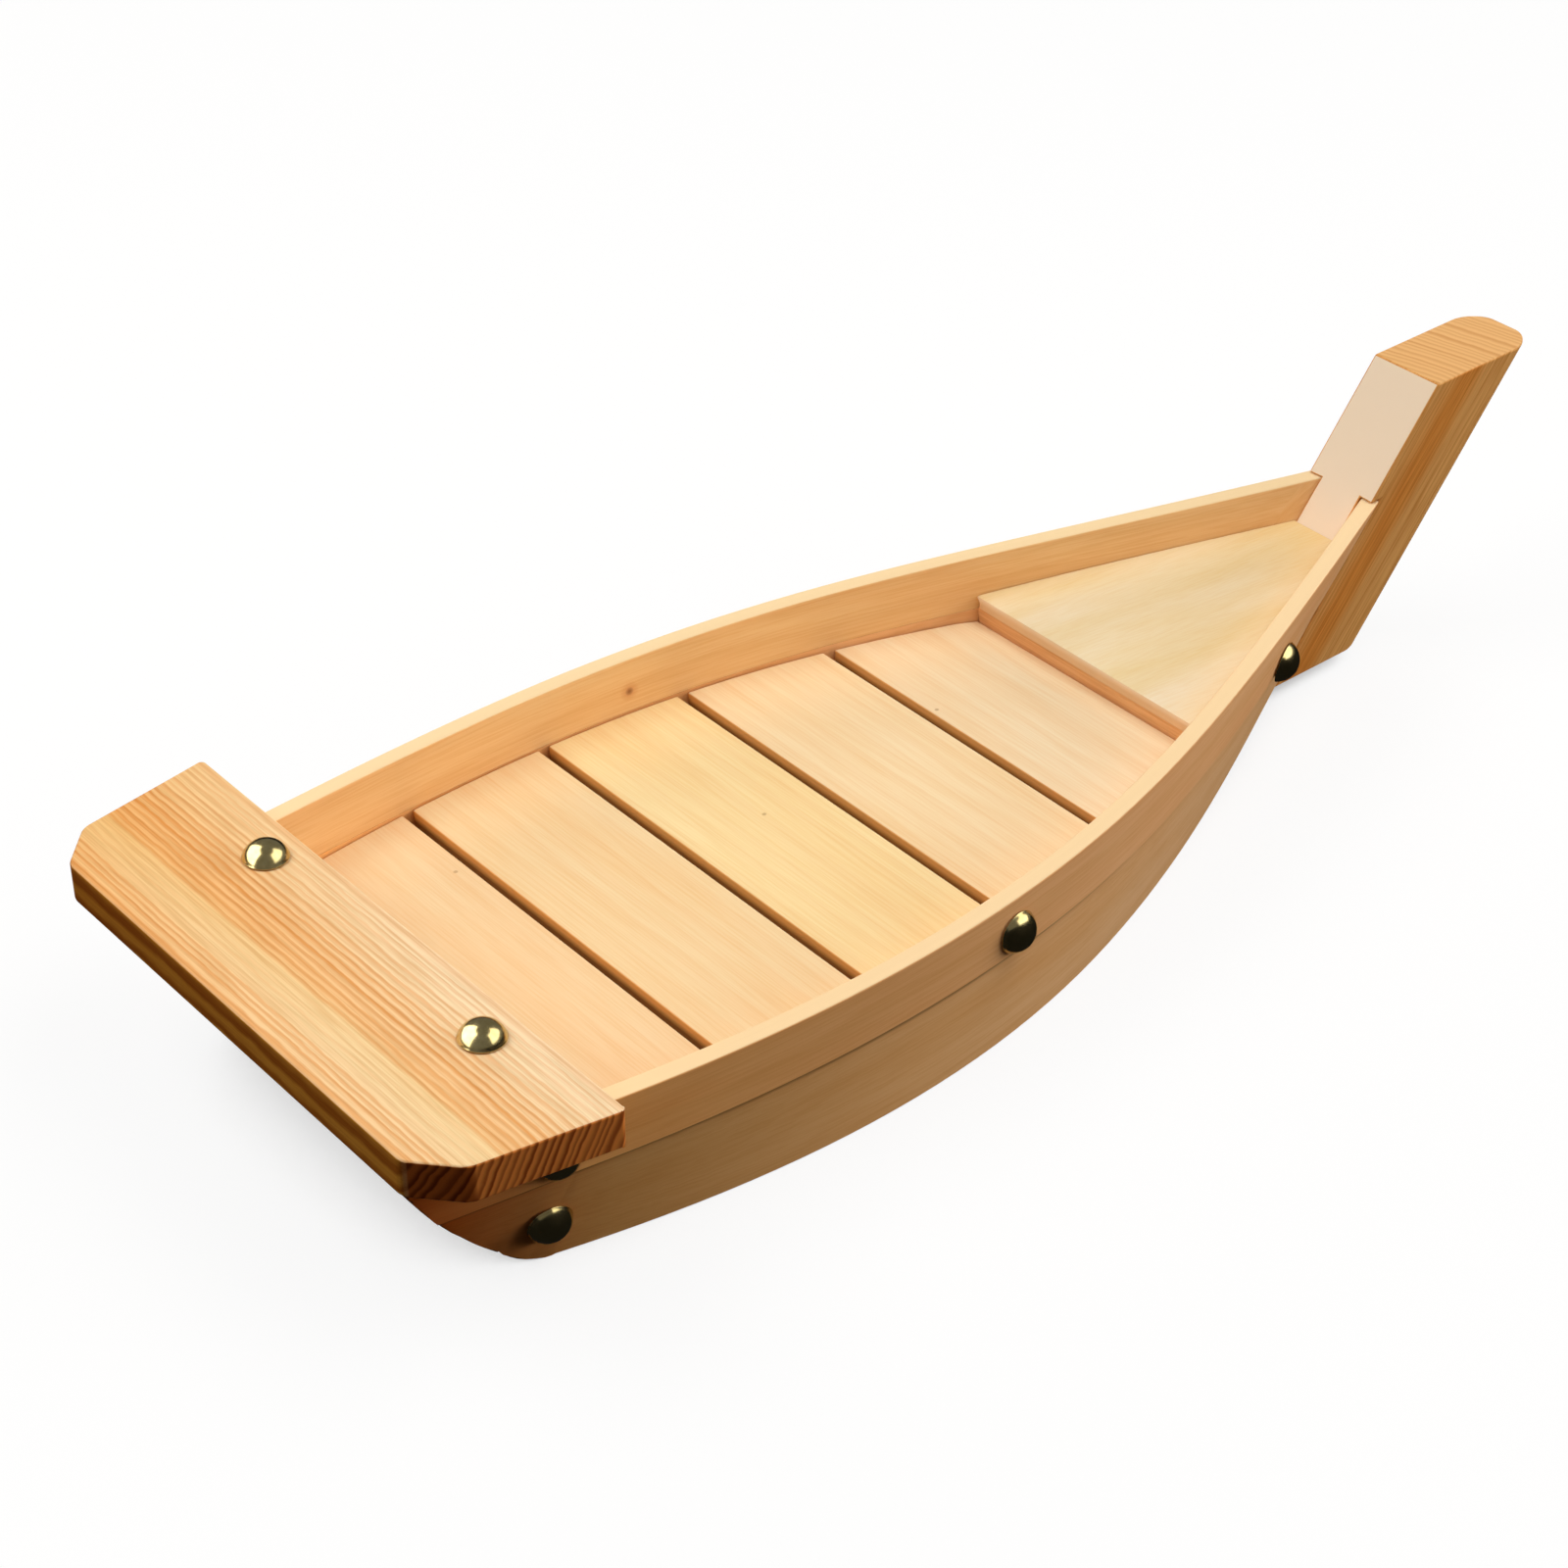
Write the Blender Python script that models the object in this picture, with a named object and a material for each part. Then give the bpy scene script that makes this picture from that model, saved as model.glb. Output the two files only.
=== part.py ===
"""Sushi boat: a wooden serving boat of side planks, stem, stern plank and floor slats, held by brass tacks.

+X points to the bow, +Y to port and +Z up. The origin is under the middle of the boat, on the table.
"""

import math

import bmesh
import bpy
import numpy as np
from mathutils import Matrix, Vector

# Overall, in metres
LENGTH = 0.432
CLEARANCE = 0.0003
OVERCUT = 0.006

# Stern plank, which lies across the side planks
STERN_PLANK_DEPTH = 0.0474
STERN_PLANK_THICKNESS = 0.0104
STERN_PLANK_FRONT_WIDTH = 0.170
STERN_PLANK_AFT_WIDTH = 0.154
STERN_PLANK_CHAMFER_ALONG = 0.0102
STERN_PLANK_CHAMFER_ACROSS = 0.0092
STERN_PLANK_TILT = math.radians(0.86)

# Stem post, a raked block with its front corners taken off
STEM_WIDTH = 0.0235
STEM_DEPTH = 0.0421
STEM_TOP = 0.082
STEM_BOTTOM = 0.005
STEM_RAKE = 0.785
STEM_CHAMFER_ALONG = 0.006
STEM_CHAMFER_ACROSS = 0.005
STEM_LAP = 0.0035

# Side planks: an upper strake over a lower plank, flush inside. Half breadths are at even stations from
# the stern; the planks end at the stem, flush with its sides.
STRAKE_THICKNESS = 0.005
SIDE_PLANK_THICKNESS = 0.0042
STRAKE_HEIGHT = 0.0165
SHEER_HALF_BREADTHS = (0.0620, 0.0720, 0.0750, 0.0649, 0.0409)
SEAM_HALF_BREADTHS = (0.0615, 0.0717, 0.0751, 0.0665, 0.0432)
BOTTOM_HALF_BREADTHS = (0.0477, 0.0659, 0.0740, 0.0669, 0.0437)
SHEER_HEIGHT = 0.04405
SHEER_LOWEST_AT = 0.36
STERN_SHEER = 0.0046
BOW_SHEER = 0.0082
BOW_SHEER_POWER = 2.2
BOTTOM_LIFT = 0.0046
BOTTOM_LIFT_FROM = 0.75
STERN_CORNER_SETBACK = 0.0367
STERN_CORNER_ANGLE = math.radians(42)
STERN_ARC_RADIUS = 0.163
STERN_ARC_STEPS = 12
STERN_HEEL_RADIUS = 0.016
STERN_HEEL_STEPS = 5
STERN_ALLOWANCE = 0.006
STATION_COUNT = 49

# Floor: slats on two bearers, carried by two cross frames
FLOOR_HEIGHT = 0.0275
SLAT_COUNT = 5
SLAT_WIDTH = 0.0407
SLAT_GAP = 0.0032
SLAT_THICKNESS = 0.008
BEARER_WIDTH = 0.010
BEARER_HEIGHT = 0.010
BEARER_SPACING = 0.058
FRAME_THICKNESS = 0.012
FRAME_FROM_TRANSOM = 0.0708
FRAME_FROM_BULKHEAD = 0.0413

# Transom under the stern plank
TRANSOM_THICKNESS = 0.012
TRANSOM_SETBACK = 0.0072
TRANSOM_BOTTOM = 0.009

# Bow deck and the bulkhead under its aft edge
DECK_FROM_BOW = 0.1633
DECK_STEP = 0.0071
DECK_SLOPE = 0.078
DECK_THICKNESS = 0.003
DECK_ROUNDING = 0.0014
BULKHEAD_THICKNESS = 0.008
BULKHEAD_RECESS = 0.0006

# Brass tacks
TACK_HEAD_DIAMETER = 0.0115
TACK_HEAD_HEIGHT = 0.0043
TACK_RIM = 0.0007
TACK_SHANK_DIAMETER = 0.0014
TACK_POINT = 0.0015
TACK_BITE = 0.0045
DECK_TACK_BITE = 0.0028
TACK_SIDES = 20
DOME_STEPS = 5
TACK_ABOVE_SEAM = 0.0064
LOWER_TACK_HEIGHT = 0.0132
STERN_PLANK_TACKS = {"port": 0.0410, "starboard": -0.0458}
STERN_PLANK_TACK_SETBACK = 0.0100
MID_TACK_X = -0.0417
BOW_TACK_FROM_DECK_EDGE = 0.0407

# Finishes: colour, roughness and metallic value
PINE = ((0.78, 0.53, 0.27), 0.55, 0.0)
PALE_PINE = ((0.84, 0.62, 0.38), 0.55, 0.0)
PALE_PLY = ((0.80, 0.66, 0.41), 0.5, 0.0)
STEM_PINE = ((0.76, 0.52, 0.30), 0.55, 0.0)
BRASS = ((0.62, 0.50, 0.22), 0.18, 1.0)

STERN_X = -LENGTH / 2
STERN_PLANK_FRONT_X = STERN_X + STERN_PLANK_DEPTH
STEM_TOP_AFT_X = LENGTH / 2 - STEM_DEPTH
TRANSOM_X = STERN_PLANK_FRONT_X - TRANSOM_SETBACK
DECK_AFT_X = LENGTH / 2 - DECK_FROM_BOW
BULKHEAD_AFT_X = DECK_AFT_X + BULKHEAD_RECESS
BOW_TACK_X = DECK_AFT_X + BOW_TACK_FROM_DECK_EDGE
FRAME_PLACES = {"aft": TRANSOM_X + FRAME_FROM_TRANSOM, "fore": BULKHEAD_AFT_X - FRAME_FROM_BULKHEAD}
HULL_START_X = STERN_X - STERN_ALLOWANCE
SIDES = {"port": 1, "starboard": -1}


# Lines of the hull


def stem_aft_x(height):
    """Where the raked aft face of the stem is at a height."""
    return STEM_TOP_AFT_X - STEM_RAKE * (STEM_TOP - height)


def faired(offsets):
    """A smooth curve through even offsets, as a batten bends: s is 0 at the first and 1 at the last."""
    last = len(offsets) - 1
    system = np.eye(last + 1)
    load = np.zeros(last + 1)
    for i in range(1, last):
        system[i, i - 1 : i + 2] = (1, 4, 1)
        load[i] = offsets[i - 1] - 2 * offsets[i] + offsets[i + 1]
    bend = np.linalg.solve(system, load)

    def curve(s):
        i = int(min(max(s * last, 0), last - 1))
        right = s * last - i
        left = 1 - right
        straight = left * offsets[i] + right * offsets[i + 1]
        return straight + (left**3 - left) * bend[i] + (right**3 - right) * bend[i + 1]

    return curve


def sheer_line(s):
    """Height of the boat's top edge before the stern plank is laid on."""
    to_bow = max(0, (s - SHEER_LOWEST_AT) / (1 - SHEER_LOWEST_AT))
    to_stern = max(0, (SHEER_LOWEST_AT - s) / SHEER_LOWEST_AT)
    return SHEER_HEIGHT + BOW_SHEER * to_bow**BOW_SHEER_POWER + STERN_SHEER * to_stern**2


SHEER_END_X = stem_aft_x(sheer_line(1)) + STEM_LAP
STERN_PLANK_AT = (STERN_PLANK_FRONT_X - HULL_START_X) / (SHEER_END_X - HULL_START_X)


def stern_plank_underside(x):
    """The stern plank rests on the strakes at its front edge and tilts up a little to the stern."""
    seat = sheer_line(STERN_PLANK_AT) + CLEARANCE
    return seat + math.tan(STERN_PLANK_TILT) * (STERN_PLANK_FRONT_X - x)


def sheer_height(s):
    """Height of the strakes' top edge, planed flat under the stern plank."""
    if s > STERN_PLANK_AT:
        return sheer_line(s)
    x = HULL_START_X + s * (SHEER_END_X - HULL_START_X)
    return stern_plank_underside(x) - CLEARANCE


def seam_height(s):
    """Height of the seam between a strake and the plank below it."""
    return sheer_height(s) - STRAKE_HEIGHT


def bottom_height(s):
    """The bottom edge lies on the table and lifts towards the stem."""
    return BOTTOM_LIFT * max(0, (s - BOTTOM_LIFT_FROM) / (1 - BOTTOM_LIFT_FROM)) ** 2


STEM_LANDING = (STEM_WIDTH / 2,)
SHEER = (faired(SHEER_HALF_BREADTHS + STEM_LANDING), sheer_height)
SEAM = (faired(SEAM_HALF_BREADTHS + STEM_LANDING), seam_height)
BOTTOM = (faired(BOTTOM_HALF_BREADTHS + STEM_LANDING), bottom_height)
STATIONS = sorted([*np.linspace(0, 1, STATION_COUNT), STERN_PLANK_AT])

# A plank's outer face: its upper and lower edges, each with its depth below the hull's outer line
STRAKE_FACE = ((SHEER, 0.0), (SEAM, 0.0))
SIDE_PLANK_FACE = ((SEAM, STRAKE_THICKNESS - SIDE_PLANK_THICKNESS), (BOTTOM, 0.0))


def plan_point(edge, s):
    """Where an edge of the port side runs, seen from above."""
    half_breadth, height = edge
    end_x = stem_aft_x(height(1)) + STEM_LAP
    return Vector((HULL_START_X + s * (end_x - HULL_START_X), half_breadth(s)))


def hull_point(edge, s, depth=0.0, lift=0.0):
    """A point of an edge of the port side, moved inwards by a depth and up by a lift."""
    nudge = 0.001
    along = (plan_point(edge, s + nudge) - plan_point(edge, s - nudge)).normalized()
    place = plan_point(edge, s) + depth * Vector((along.y, -along.x))
    return Vector((place.x, place.y, edge[1](s) + lift))


def face_point(face, s, height):
    """The point of a plank's outer face at a height, on the line between its edges at s."""
    top, bottom = (hull_point(edge, s, depth) for edge, depth in face)
    return bottom.lerp(top, (height - bottom.z) / (top.z - bottom.z))


def on_side(face, x, height):
    """The point of a plank's outer face at an x and a height on the port side, and its outward direction."""
    low, high = 0.0, 1.0
    while high - low > 1e-6:
        s = (low + high) / 2
        if face_point(face, s, height).x < x:
            low = s
        else:
            high = s
    nudge = 0.001
    place = face_point(face, s, height)
    along = face_point(face, s + nudge, height) - face_point(face, s - nudge, height)
    up = face_point(face, s, height + nudge) - place
    return place, up.cross(along).normalized()


def to_side(side, point):
    """A point or direction of the port side, on the named side."""
    return Vector((point.x, SIDES[side] * point.y, point.z))


# Making and joining bodies


def new_object(name, bm):
    bmesh.ops.recalc_face_normals(bm, faces=bm.faces)
    mesh = bpy.data.meshes.new(name)
    bm.to_mesh(mesh)
    bm.free()
    obj = bpy.data.objects.new(name, mesh)
    bpy.context.scene.collection.objects.link(obj)
    return obj


def new_part(name, bm, finish):
    """A sub-part with its own material."""
    colour, roughness, metallic = finish
    obj = new_object(name, bm)
    material = bpy.data.materials.new(name)
    material.use_nodes = True
    shader = material.node_tree.nodes["Principled BSDF"]
    shader.inputs["Base Color"].default_value = (*colour, 1)
    shader.inputs["Roughness"].default_value = roughness
    shader.inputs["Metallic"].default_value = metallic
    obj.data.materials.append(material)
    return obj


def new_cutter(name, bm):
    """A helper body that only shapes others."""
    obj = new_object(name, bm)
    obj.hide_render = True
    obj.display_type = "WIRE"
    return obj


def shape_with(obj, cutter, operation="DIFFERENCE"):
    modifier = obj.modifiers.new(cutter.name, "BOOLEAN")
    modifier.operation = operation
    modifier.solver = "EXACT"
    modifier.object = cutter


def loft(sections):
    """A closed body through rings of points, with its two ends filled.

    A twisted face is always split along the same diagonal, so that two faces a gap apart stay that far apart.
    """
    bm = bmesh.new()
    rings = [[bm.verts.new(point) for point in section] for section in sections]
    for near, far in zip(rings, rings[1:]):
        for i in range(len(near)):
            low, high = sorted((i - 1, i), key=lambda k: near[k].co.z)
            bm.faces.new((near[low], near[high], far[high]))
            bm.faces.new((near[low], far[high], far[low]))
    bm.faces.new(rings[0])
    bm.faces.new(rings[-1])
    return bm


def across(profile):
    """A body with one side view, wide enough to reach past both sides of the hull."""
    reach = max(SHEER_HALF_BREADTHS + SEAM_HALF_BREADTHS + BOTTOM_HALF_BREADTHS) + OVERCUT
    return loft([[Vector((x, y, z)) for x, z in profile] for y in (-reach, reach)])


def rectangle(x_low, x_high, z_low, z_high):
    return [(x_low, z_low), (x_high, z_low), (x_high, z_high), (x_low, z_high)]


# Helper bodies of the hull


def hull_inside():
    """The room inside the planks, which everything between them is cut to."""
    depths = (
        (SHEER, STRAKE_THICKNESS, OVERCUT),
        (SHEER, STRAKE_THICKNESS, 0),
        (SEAM, STRAKE_THICKNESS, 0),
        (BOTTOM, SIDE_PLANK_THICKNESS, 0),
        (BOTTOM, SIDE_PLANK_THICKNESS, -OVERCUT),
    )
    sections = []
    for s in STATIONS:
        port = [hull_point(edge, s, depth + CLEARANCE, lift) for edge, depth, lift in depths]
        sections.append(port + [to_side("starboard", point) for point in reversed(port)])
    return new_cutter("hull_inside", loft(sections))


def heel_arc_centre(arc_centre):
    """Centre of the small arc that joins the table and the planks' stern arc."""
    reach = STERN_ARC_RADIUS - STERN_HEEL_RADIUS
    rise = arc_centre.y - STERN_HEEL_RADIUS
    return Vector((arc_centre.x - math.sqrt(reach**2 - rise**2), STERN_HEEL_RADIUS))


def stern_trim():
    """What is sawn off the planks' stern ends: they rise from a rounded heel on the table along one arc."""
    corner = Vector((STERN_X + STERN_CORNER_SETBACK, 0))
    centre = corner + STERN_ARC_RADIUS * Vector((math.sin(STERN_CORNER_ANGLE), math.cos(STERN_CORNER_ANGLE)))
    heel_centre = heel_arc_centre(centre)
    heel_turn = math.atan2(centre.x - heel_centre.x, centre.y - heel_centre.y)
    plank_top = stern_plank_underside(STERN_X) + OVERCUT
    top_turn = math.acos((centre.y - plank_top) / STERN_ARC_RADIUS)
    profile = [(heel_centre.x, -OVERCUT)]
    for angle in np.linspace(0, heel_turn, STERN_HEEL_STEPS + 1)[1:]:
        profile.append(tuple(heel_centre + STERN_HEEL_RADIUS * Vector((-math.sin(angle), -math.cos(angle)))))
    for angle in np.linspace(heel_turn, top_turn, STERN_ARC_STEPS + 1)[1:]:
        profile.append(tuple(centre + STERN_ARC_RADIUS * Vector((-math.sin(angle), -math.cos(angle)))))
    aft_x = min(HULL_START_X, profile[-1][0]) - OVERCUT
    profile += [(aft_x, plank_top), (aft_x, -OVERCUT)]
    return new_cutter("stern_trim", across(profile))


def stem_rabbet(side):
    """The seat that a side's plank ends need in the stem."""
    depths = (
        (SHEER, -CLEARANCE, CLEARANCE),
        (SEAM, -CLEARANCE, 0),
        (BOTTOM, -CLEARANCE, -CLEARANCE),
        (BOTTOM, SIDE_PLANK_THICKNESS + CLEARANCE, -CLEARANCE),
        (SEAM, STRAKE_THICKNESS + CLEARANCE, 0),
        (SHEER, STRAKE_THICKNESS + CLEARANCE, CLEARANCE),
    )
    stations = [s for s in STATIONS if s > BOTTOM_LIFT_FROM]
    stations[-1] += CLEARANCE / LENGTH
    sections = [[to_side(side, hull_point(edge, s, *shift)) for edge, *shift in depths] for s in stations]
    return new_cutter(f"stem_rabbet_{side}", loft(sections))


# Sub-parts


def side_plank(name, side, face, thickness, gaps, trim):
    """One plank of a side: its outer face, given a thickness inwards and trimmed at the stern."""
    (upper, upper_depth), (lower, lower_depth) = face
    upper_gap, lower_gap = gaps
    corners = (
        (upper, upper_depth, -upper_gap),
        (lower, lower_depth, lower_gap),
        (lower, lower_depth + thickness, lower_gap),
        (upper, upper_depth + thickness, -upper_gap),
    )
    sections = [[to_side(side, hull_point(edge, s, *shift)) for edge, *shift in corners] for s in STATIONS]
    plank = new_part(f"{name}_{side}", loft(sections), PINE)
    shape_with(plank, trim)
    return plank


def stem_post():
    front = STEM_DEPTH - STEM_CHAMFER_ALONG
    half = STEM_WIDTH / 2
    nose = half - STEM_CHAMFER_ACROSS
    outline = [(0, -half), (front, -half), (STEM_DEPTH, -nose), (STEM_DEPTH, nose), (front, half), (0, half)]
    sections = []
    for z in (STEM_BOTTOM, STEM_TOP):
        sections.append([Vector((stem_aft_x(z) + x, y, z)) for x, y in outline])
    post = new_part("stem_post", loft(sections), STEM_PINE)
    for side in SIDES:
        shape_with(post, stem_rabbet(side))
    return post


def stern_plank():
    shoulder_x = STERN_X + STERN_PLANK_CHAMFER_ALONG
    taper = (STERN_PLANK_FRONT_WIDTH - STERN_PLANK_AFT_WIDTH) / 2 / STERN_PLANK_DEPTH
    shoulder = STERN_PLANK_AFT_WIDTH / 2 + taper * STERN_PLANK_CHAMFER_ALONG
    aft = STERN_PLANK_AFT_WIDTH / 2 - STERN_PLANK_CHAMFER_ACROSS
    front = STERN_PLANK_FRONT_WIDTH / 2
    starboard = [(STERN_PLANK_FRONT_X, -front), (shoulder_x, -shoulder), (STERN_X, -aft)]
    outline = starboard + [(x, -y) for x, y in reversed(starboard)]
    sections = []
    for rise in (0, STERN_PLANK_THICKNESS):
        sections.append([Vector((x, y, stern_plank_underside(x) + rise)) for x, y in outline])
    return new_part("stern_plank", loft(sections), PINE)


def transom(inside):
    aft_x = TRANSOM_X - TRANSOM_THICKNESS / 2
    fore_x = TRANSOM_X + TRANSOM_THICKNESS / 2
    profile = [(aft_x, TRANSOM_BOTTOM), (fore_x, TRANSOM_BOTTOM)]
    profile += [(x, stern_plank_underside(x) - CLEARANCE) for x in (fore_x, aft_x)]
    board = new_part("transom", across(profile), PINE)
    shape_with(board, inside, "INTERSECT")
    return board


def floor_slats(inside):
    """Slats laid from the bulkhead aft; the last one fills the room up to the transom."""
    top = FLOOR_HEIGHT
    fore_x = BULKHEAD_AFT_X - CLEARANCE
    for number in range(SLAT_COUNT, 0, -1):
        aft_x = fore_x - SLAT_WIDTH
        if number == 1:
            aft_x = TRANSOM_X + TRANSOM_THICKNESS / 2 + SLAT_GAP
        profile = rectangle(aft_x, fore_x, top - SLAT_THICKNESS, top)
        slat = new_part(f"floor_slat_{number}", across(profile), PALE_PINE)
        shape_with(slat, inside, "INTERSECT")
        fore_x = aft_x - SLAT_GAP


def floor_bearers():
    """Two battens under the slats, from the transom to the bulkhead."""
    aft_x = TRANSOM_X + TRANSOM_THICKNESS / 2 + CLEARANCE
    fore_x = BULKHEAD_AFT_X - CLEARANCE
    top = FLOOR_HEIGHT - SLAT_THICKNESS - CLEARANCE
    outline = rectangle(-BEARER_WIDTH / 2, BEARER_WIDTH / 2, top - BEARER_HEIGHT, top)
    for side, sign in SIDES.items():
        middle = sign * BEARER_SPACING / 2
        sections = [[Vector((x, middle + y, z)) for y, z in outline] for x in (aft_x, fore_x)]
        new_part(f"floor_bearer_{side}", loft(sections), PINE)


def floor_frames(inside):
    """Cross frames that stand on the table between the planks and carry the bearers."""
    top = FLOOR_HEIGHT - SLAT_THICKNESS - BEARER_HEIGHT - 2 * CLEARANCE
    for place, x in FRAME_PLACES.items():
        profile = rectangle(x - FRAME_THICKNESS / 2, x + FRAME_THICKNESS / 2, 0, top)
        frame = new_part(f"floor_frame_{place}", across(profile), PINE)
        shape_with(frame, inside, "INTERSECT")


def deck_height(x):
    """Height of the bow deck's top face."""
    return FLOOR_HEIGHT + DECK_STEP + DECK_SLOPE * (x - DECK_AFT_X)


def deck_end(depth):
    """Where the deck meets the stem's aft face, at a depth below its top face."""
    gap = CLEARANCE * math.hypot(1, STEM_RAKE)
    level = deck_height(0) - depth
    x = (stem_aft_x(level) - gap) / (1 - STEM_RAKE * DECK_SLOPE)
    return x, deck_height(x) - depth


def bow_deck(inside):
    under = deck_height(DECK_AFT_X) - DECK_THICKNESS
    profile = [deck_end(0), deck_end(DECK_THICKNESS), (DECK_AFT_X, under)]
    for turn in (0, 30, 60, 90):
        angle = math.radians(turn)
        x = DECK_AFT_X + DECK_ROUNDING * (1 - math.cos(angle))
        profile.append((x, deck_height(x) - DECK_ROUNDING * (1 - math.sin(angle))))
    deck = new_part("bow_deck", across(profile), PALE_PLY)
    shape_with(deck, inside, "INTERSECT")
    return deck


def bow_bulkhead(inside):
    """A board across the boat that carries the aft edge of the bow deck and shows as its riser."""
    fore_x = BULKHEAD_AFT_X + BULKHEAD_THICKNESS
    profile = [(BULKHEAD_AFT_X, 0), (fore_x, 0)]
    profile += [(x, deck_height(x) - DECK_THICKNESS - CLEARANCE) for x in (fore_x, BULKHEAD_AFT_X)]
    board = new_part("bow_bulkhead", across(profile), PALE_PINE)
    shape_with(board, inside, "INTERSECT")


def tack(name, place, axis, shank, holders, through=False):
    """A dome-headed tack driven in at a place against its axis, with its pilot hole in what it holds."""
    head = TACK_HEAD_DIAMETER / 2
    dome = TACK_HEAD_HEIGHT - TACK_RIM
    radius = TACK_SHANK_DIAMETER / 2
    outline = [(0, -shank), (radius, TACK_POINT - shank), (radius, 0), (head, 0)]
    for step in range(DOME_STEPS):
        angle = math.pi / 2 * step / DOME_STEPS
        outline.append((head * math.cos(angle), TACK_RIM + dome * math.sin(angle)))
    outline.append((0, TACK_HEAD_HEIGHT))

    bm = bmesh.new()
    verts = [bm.verts.new((r, 0, z)) for r, z in outline]
    edges = [bm.edges.new(pair) for pair in zip(verts, verts[1:])]
    turn = {"cent": (0, 0, 0), "axis": (0, 0, 1), "angle": 2 * math.pi, "steps": TACK_SIDES}
    bmesh.ops.spin(bm, geom=verts + edges, use_merge=True, **turn)
    bmesh.ops.remove_doubles(bm, verts=bm.verts, dist=1e-6)
    obj = new_part(name, bm, BRASS)
    obj.data.shade_smooth()
    obj.data.set_sharp_from_angle(angle=math.radians(40))

    hole_end = shank + (OVERCUT if through else CLEARANCE)
    bm = bmesh.new()
    bmesh.ops.create_cone(
        bm,
        cap_ends=True,
        segments=TACK_SIDES,
        radius1=radius + CLEARANCE,
        radius2=radius + CLEARANCE,
        depth=hole_end + OVERCUT,
        matrix=Matrix.Translation((0, 0, (OVERCUT - hole_end) / 2)),
    )
    hole = new_cutter(f"{name}_hole", bm)
    turned = axis.to_track_quat("Z", "Y").to_matrix().to_4x4()
    seat = Matrix.Translation(place + CLEARANCE * axis) @ turned
    obj.matrix_world = seat
    hole.matrix_world = seat
    for holder in holders:
        shape_with(holder, hole)


def side_tacks(side, strake, plank, transom_board, deck):
    """A side's tacks: two into the transom, one through the strake amidships and one into the deck's edge."""
    strake_shank = STRAKE_THICKNESS + CLEARANCE
    plank_shank = SIDE_PLANK_THICKNESS + CLEARANCE
    bite = TACK_BITE + CLEARANCE

    def drive(name, face, x, height, shank, holders, through=False):
        place, axis = on_side(face, x, height)
        tack(f"{name}_{side}", to_side(side, place), to_side(side, axis), shank, holders, through)

    def above_seam(x):
        return seam_height((x - HULL_START_X) / (SHEER_END_X - HULL_START_X)) + TACK_ABOVE_SEAM

    height = above_seam(TRANSOM_X)
    drive("tack_transom_upper", STRAKE_FACE, TRANSOM_X, height, strake_shank + bite, (strake, transom_board))
    height = LOWER_TACK_HEIGHT
    shank = plank_shank + bite
    drive("tack_transom_lower", SIDE_PLANK_FACE, TRANSOM_X, height, shank, (plank, transom_board))
    height = above_seam(MID_TACK_X)
    drive("tack_mid", STRAKE_FACE, MID_TACK_X, height, strake_shank, (strake,), through=True)

    # The bow tack leans with the strake, so it starts lower to meet the middle of the deck's edge.
    deck_middle = deck_height(BOW_TACK_X) - DECK_THICKNESS / 2
    lean = on_side(STRAKE_FACE, BOW_TACK_X, deck_middle)[1].z
    bow_shank = strake_shank + DECK_TACK_BITE + CLEARANCE
    drive("tack_bow", STRAKE_FACE, BOW_TACK_X, deck_middle + lean * bow_shank, bow_shank, (strake, deck))


def stern_plank_tacks(plank, transom_board):
    axis = Vector((math.sin(STERN_PLANK_TILT), 0, math.cos(STERN_PLANK_TILT)))
    x = STERN_PLANK_FRONT_X - STERN_PLANK_TACK_SETBACK
    top = stern_plank_underside(x) + STERN_PLANK_THICKNESS
    shank = STERN_PLANK_THICKNESS + TACK_BITE + 2 * CLEARANCE
    for side, y in STERN_PLANK_TACKS.items():
        tack(f"tack_stern_plank_{side}", Vector((x, y, top)), axis, shank, (plank, transom_board))


def build():
    for obj in list(bpy.data.objects):
        bpy.data.objects.remove(obj)
    inside = hull_inside()
    trim = stern_trim()
    top_plank = stern_plank()
    transom_board = transom(inside)
    deck = bow_deck(inside)
    stem_post()
    bow_bulkhead(inside)
    floor_slats(inside)
    floor_bearers()
    floor_frames(inside)
    for side in SIDES:
        gaps = (0, CLEARANCE / 2)
        strake = side_plank("strake", side, STRAKE_FACE, STRAKE_THICKNESS, gaps, trim)
        gaps = (CLEARANCE / 2, 0)
        plank = side_plank("side_plank", side, SIDE_PLANK_FACE, SIDE_PLANK_THICKNESS, gaps, trim)
        side_tacks(side, strake, plank, transom_board, deck)
    stern_plank_tacks(top_plank, transom_board)


build()
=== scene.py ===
# %% [markdown]
# # A wooden sushi boat
# This lesson dresses a finished boat model for a picture. The model comes in as a fixed frame of plain
# solids: planks, slats, stem, deck and tacks, each in its real place. Here every wooden solid gets a copy
# with sanded edges and a wood made of nodes, and the tacks are turned again in fine brass.

# %% Load the boat
import math

import bmesh
import bpy
import numpy as np
from mathutils import Matrix, Vector


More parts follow.
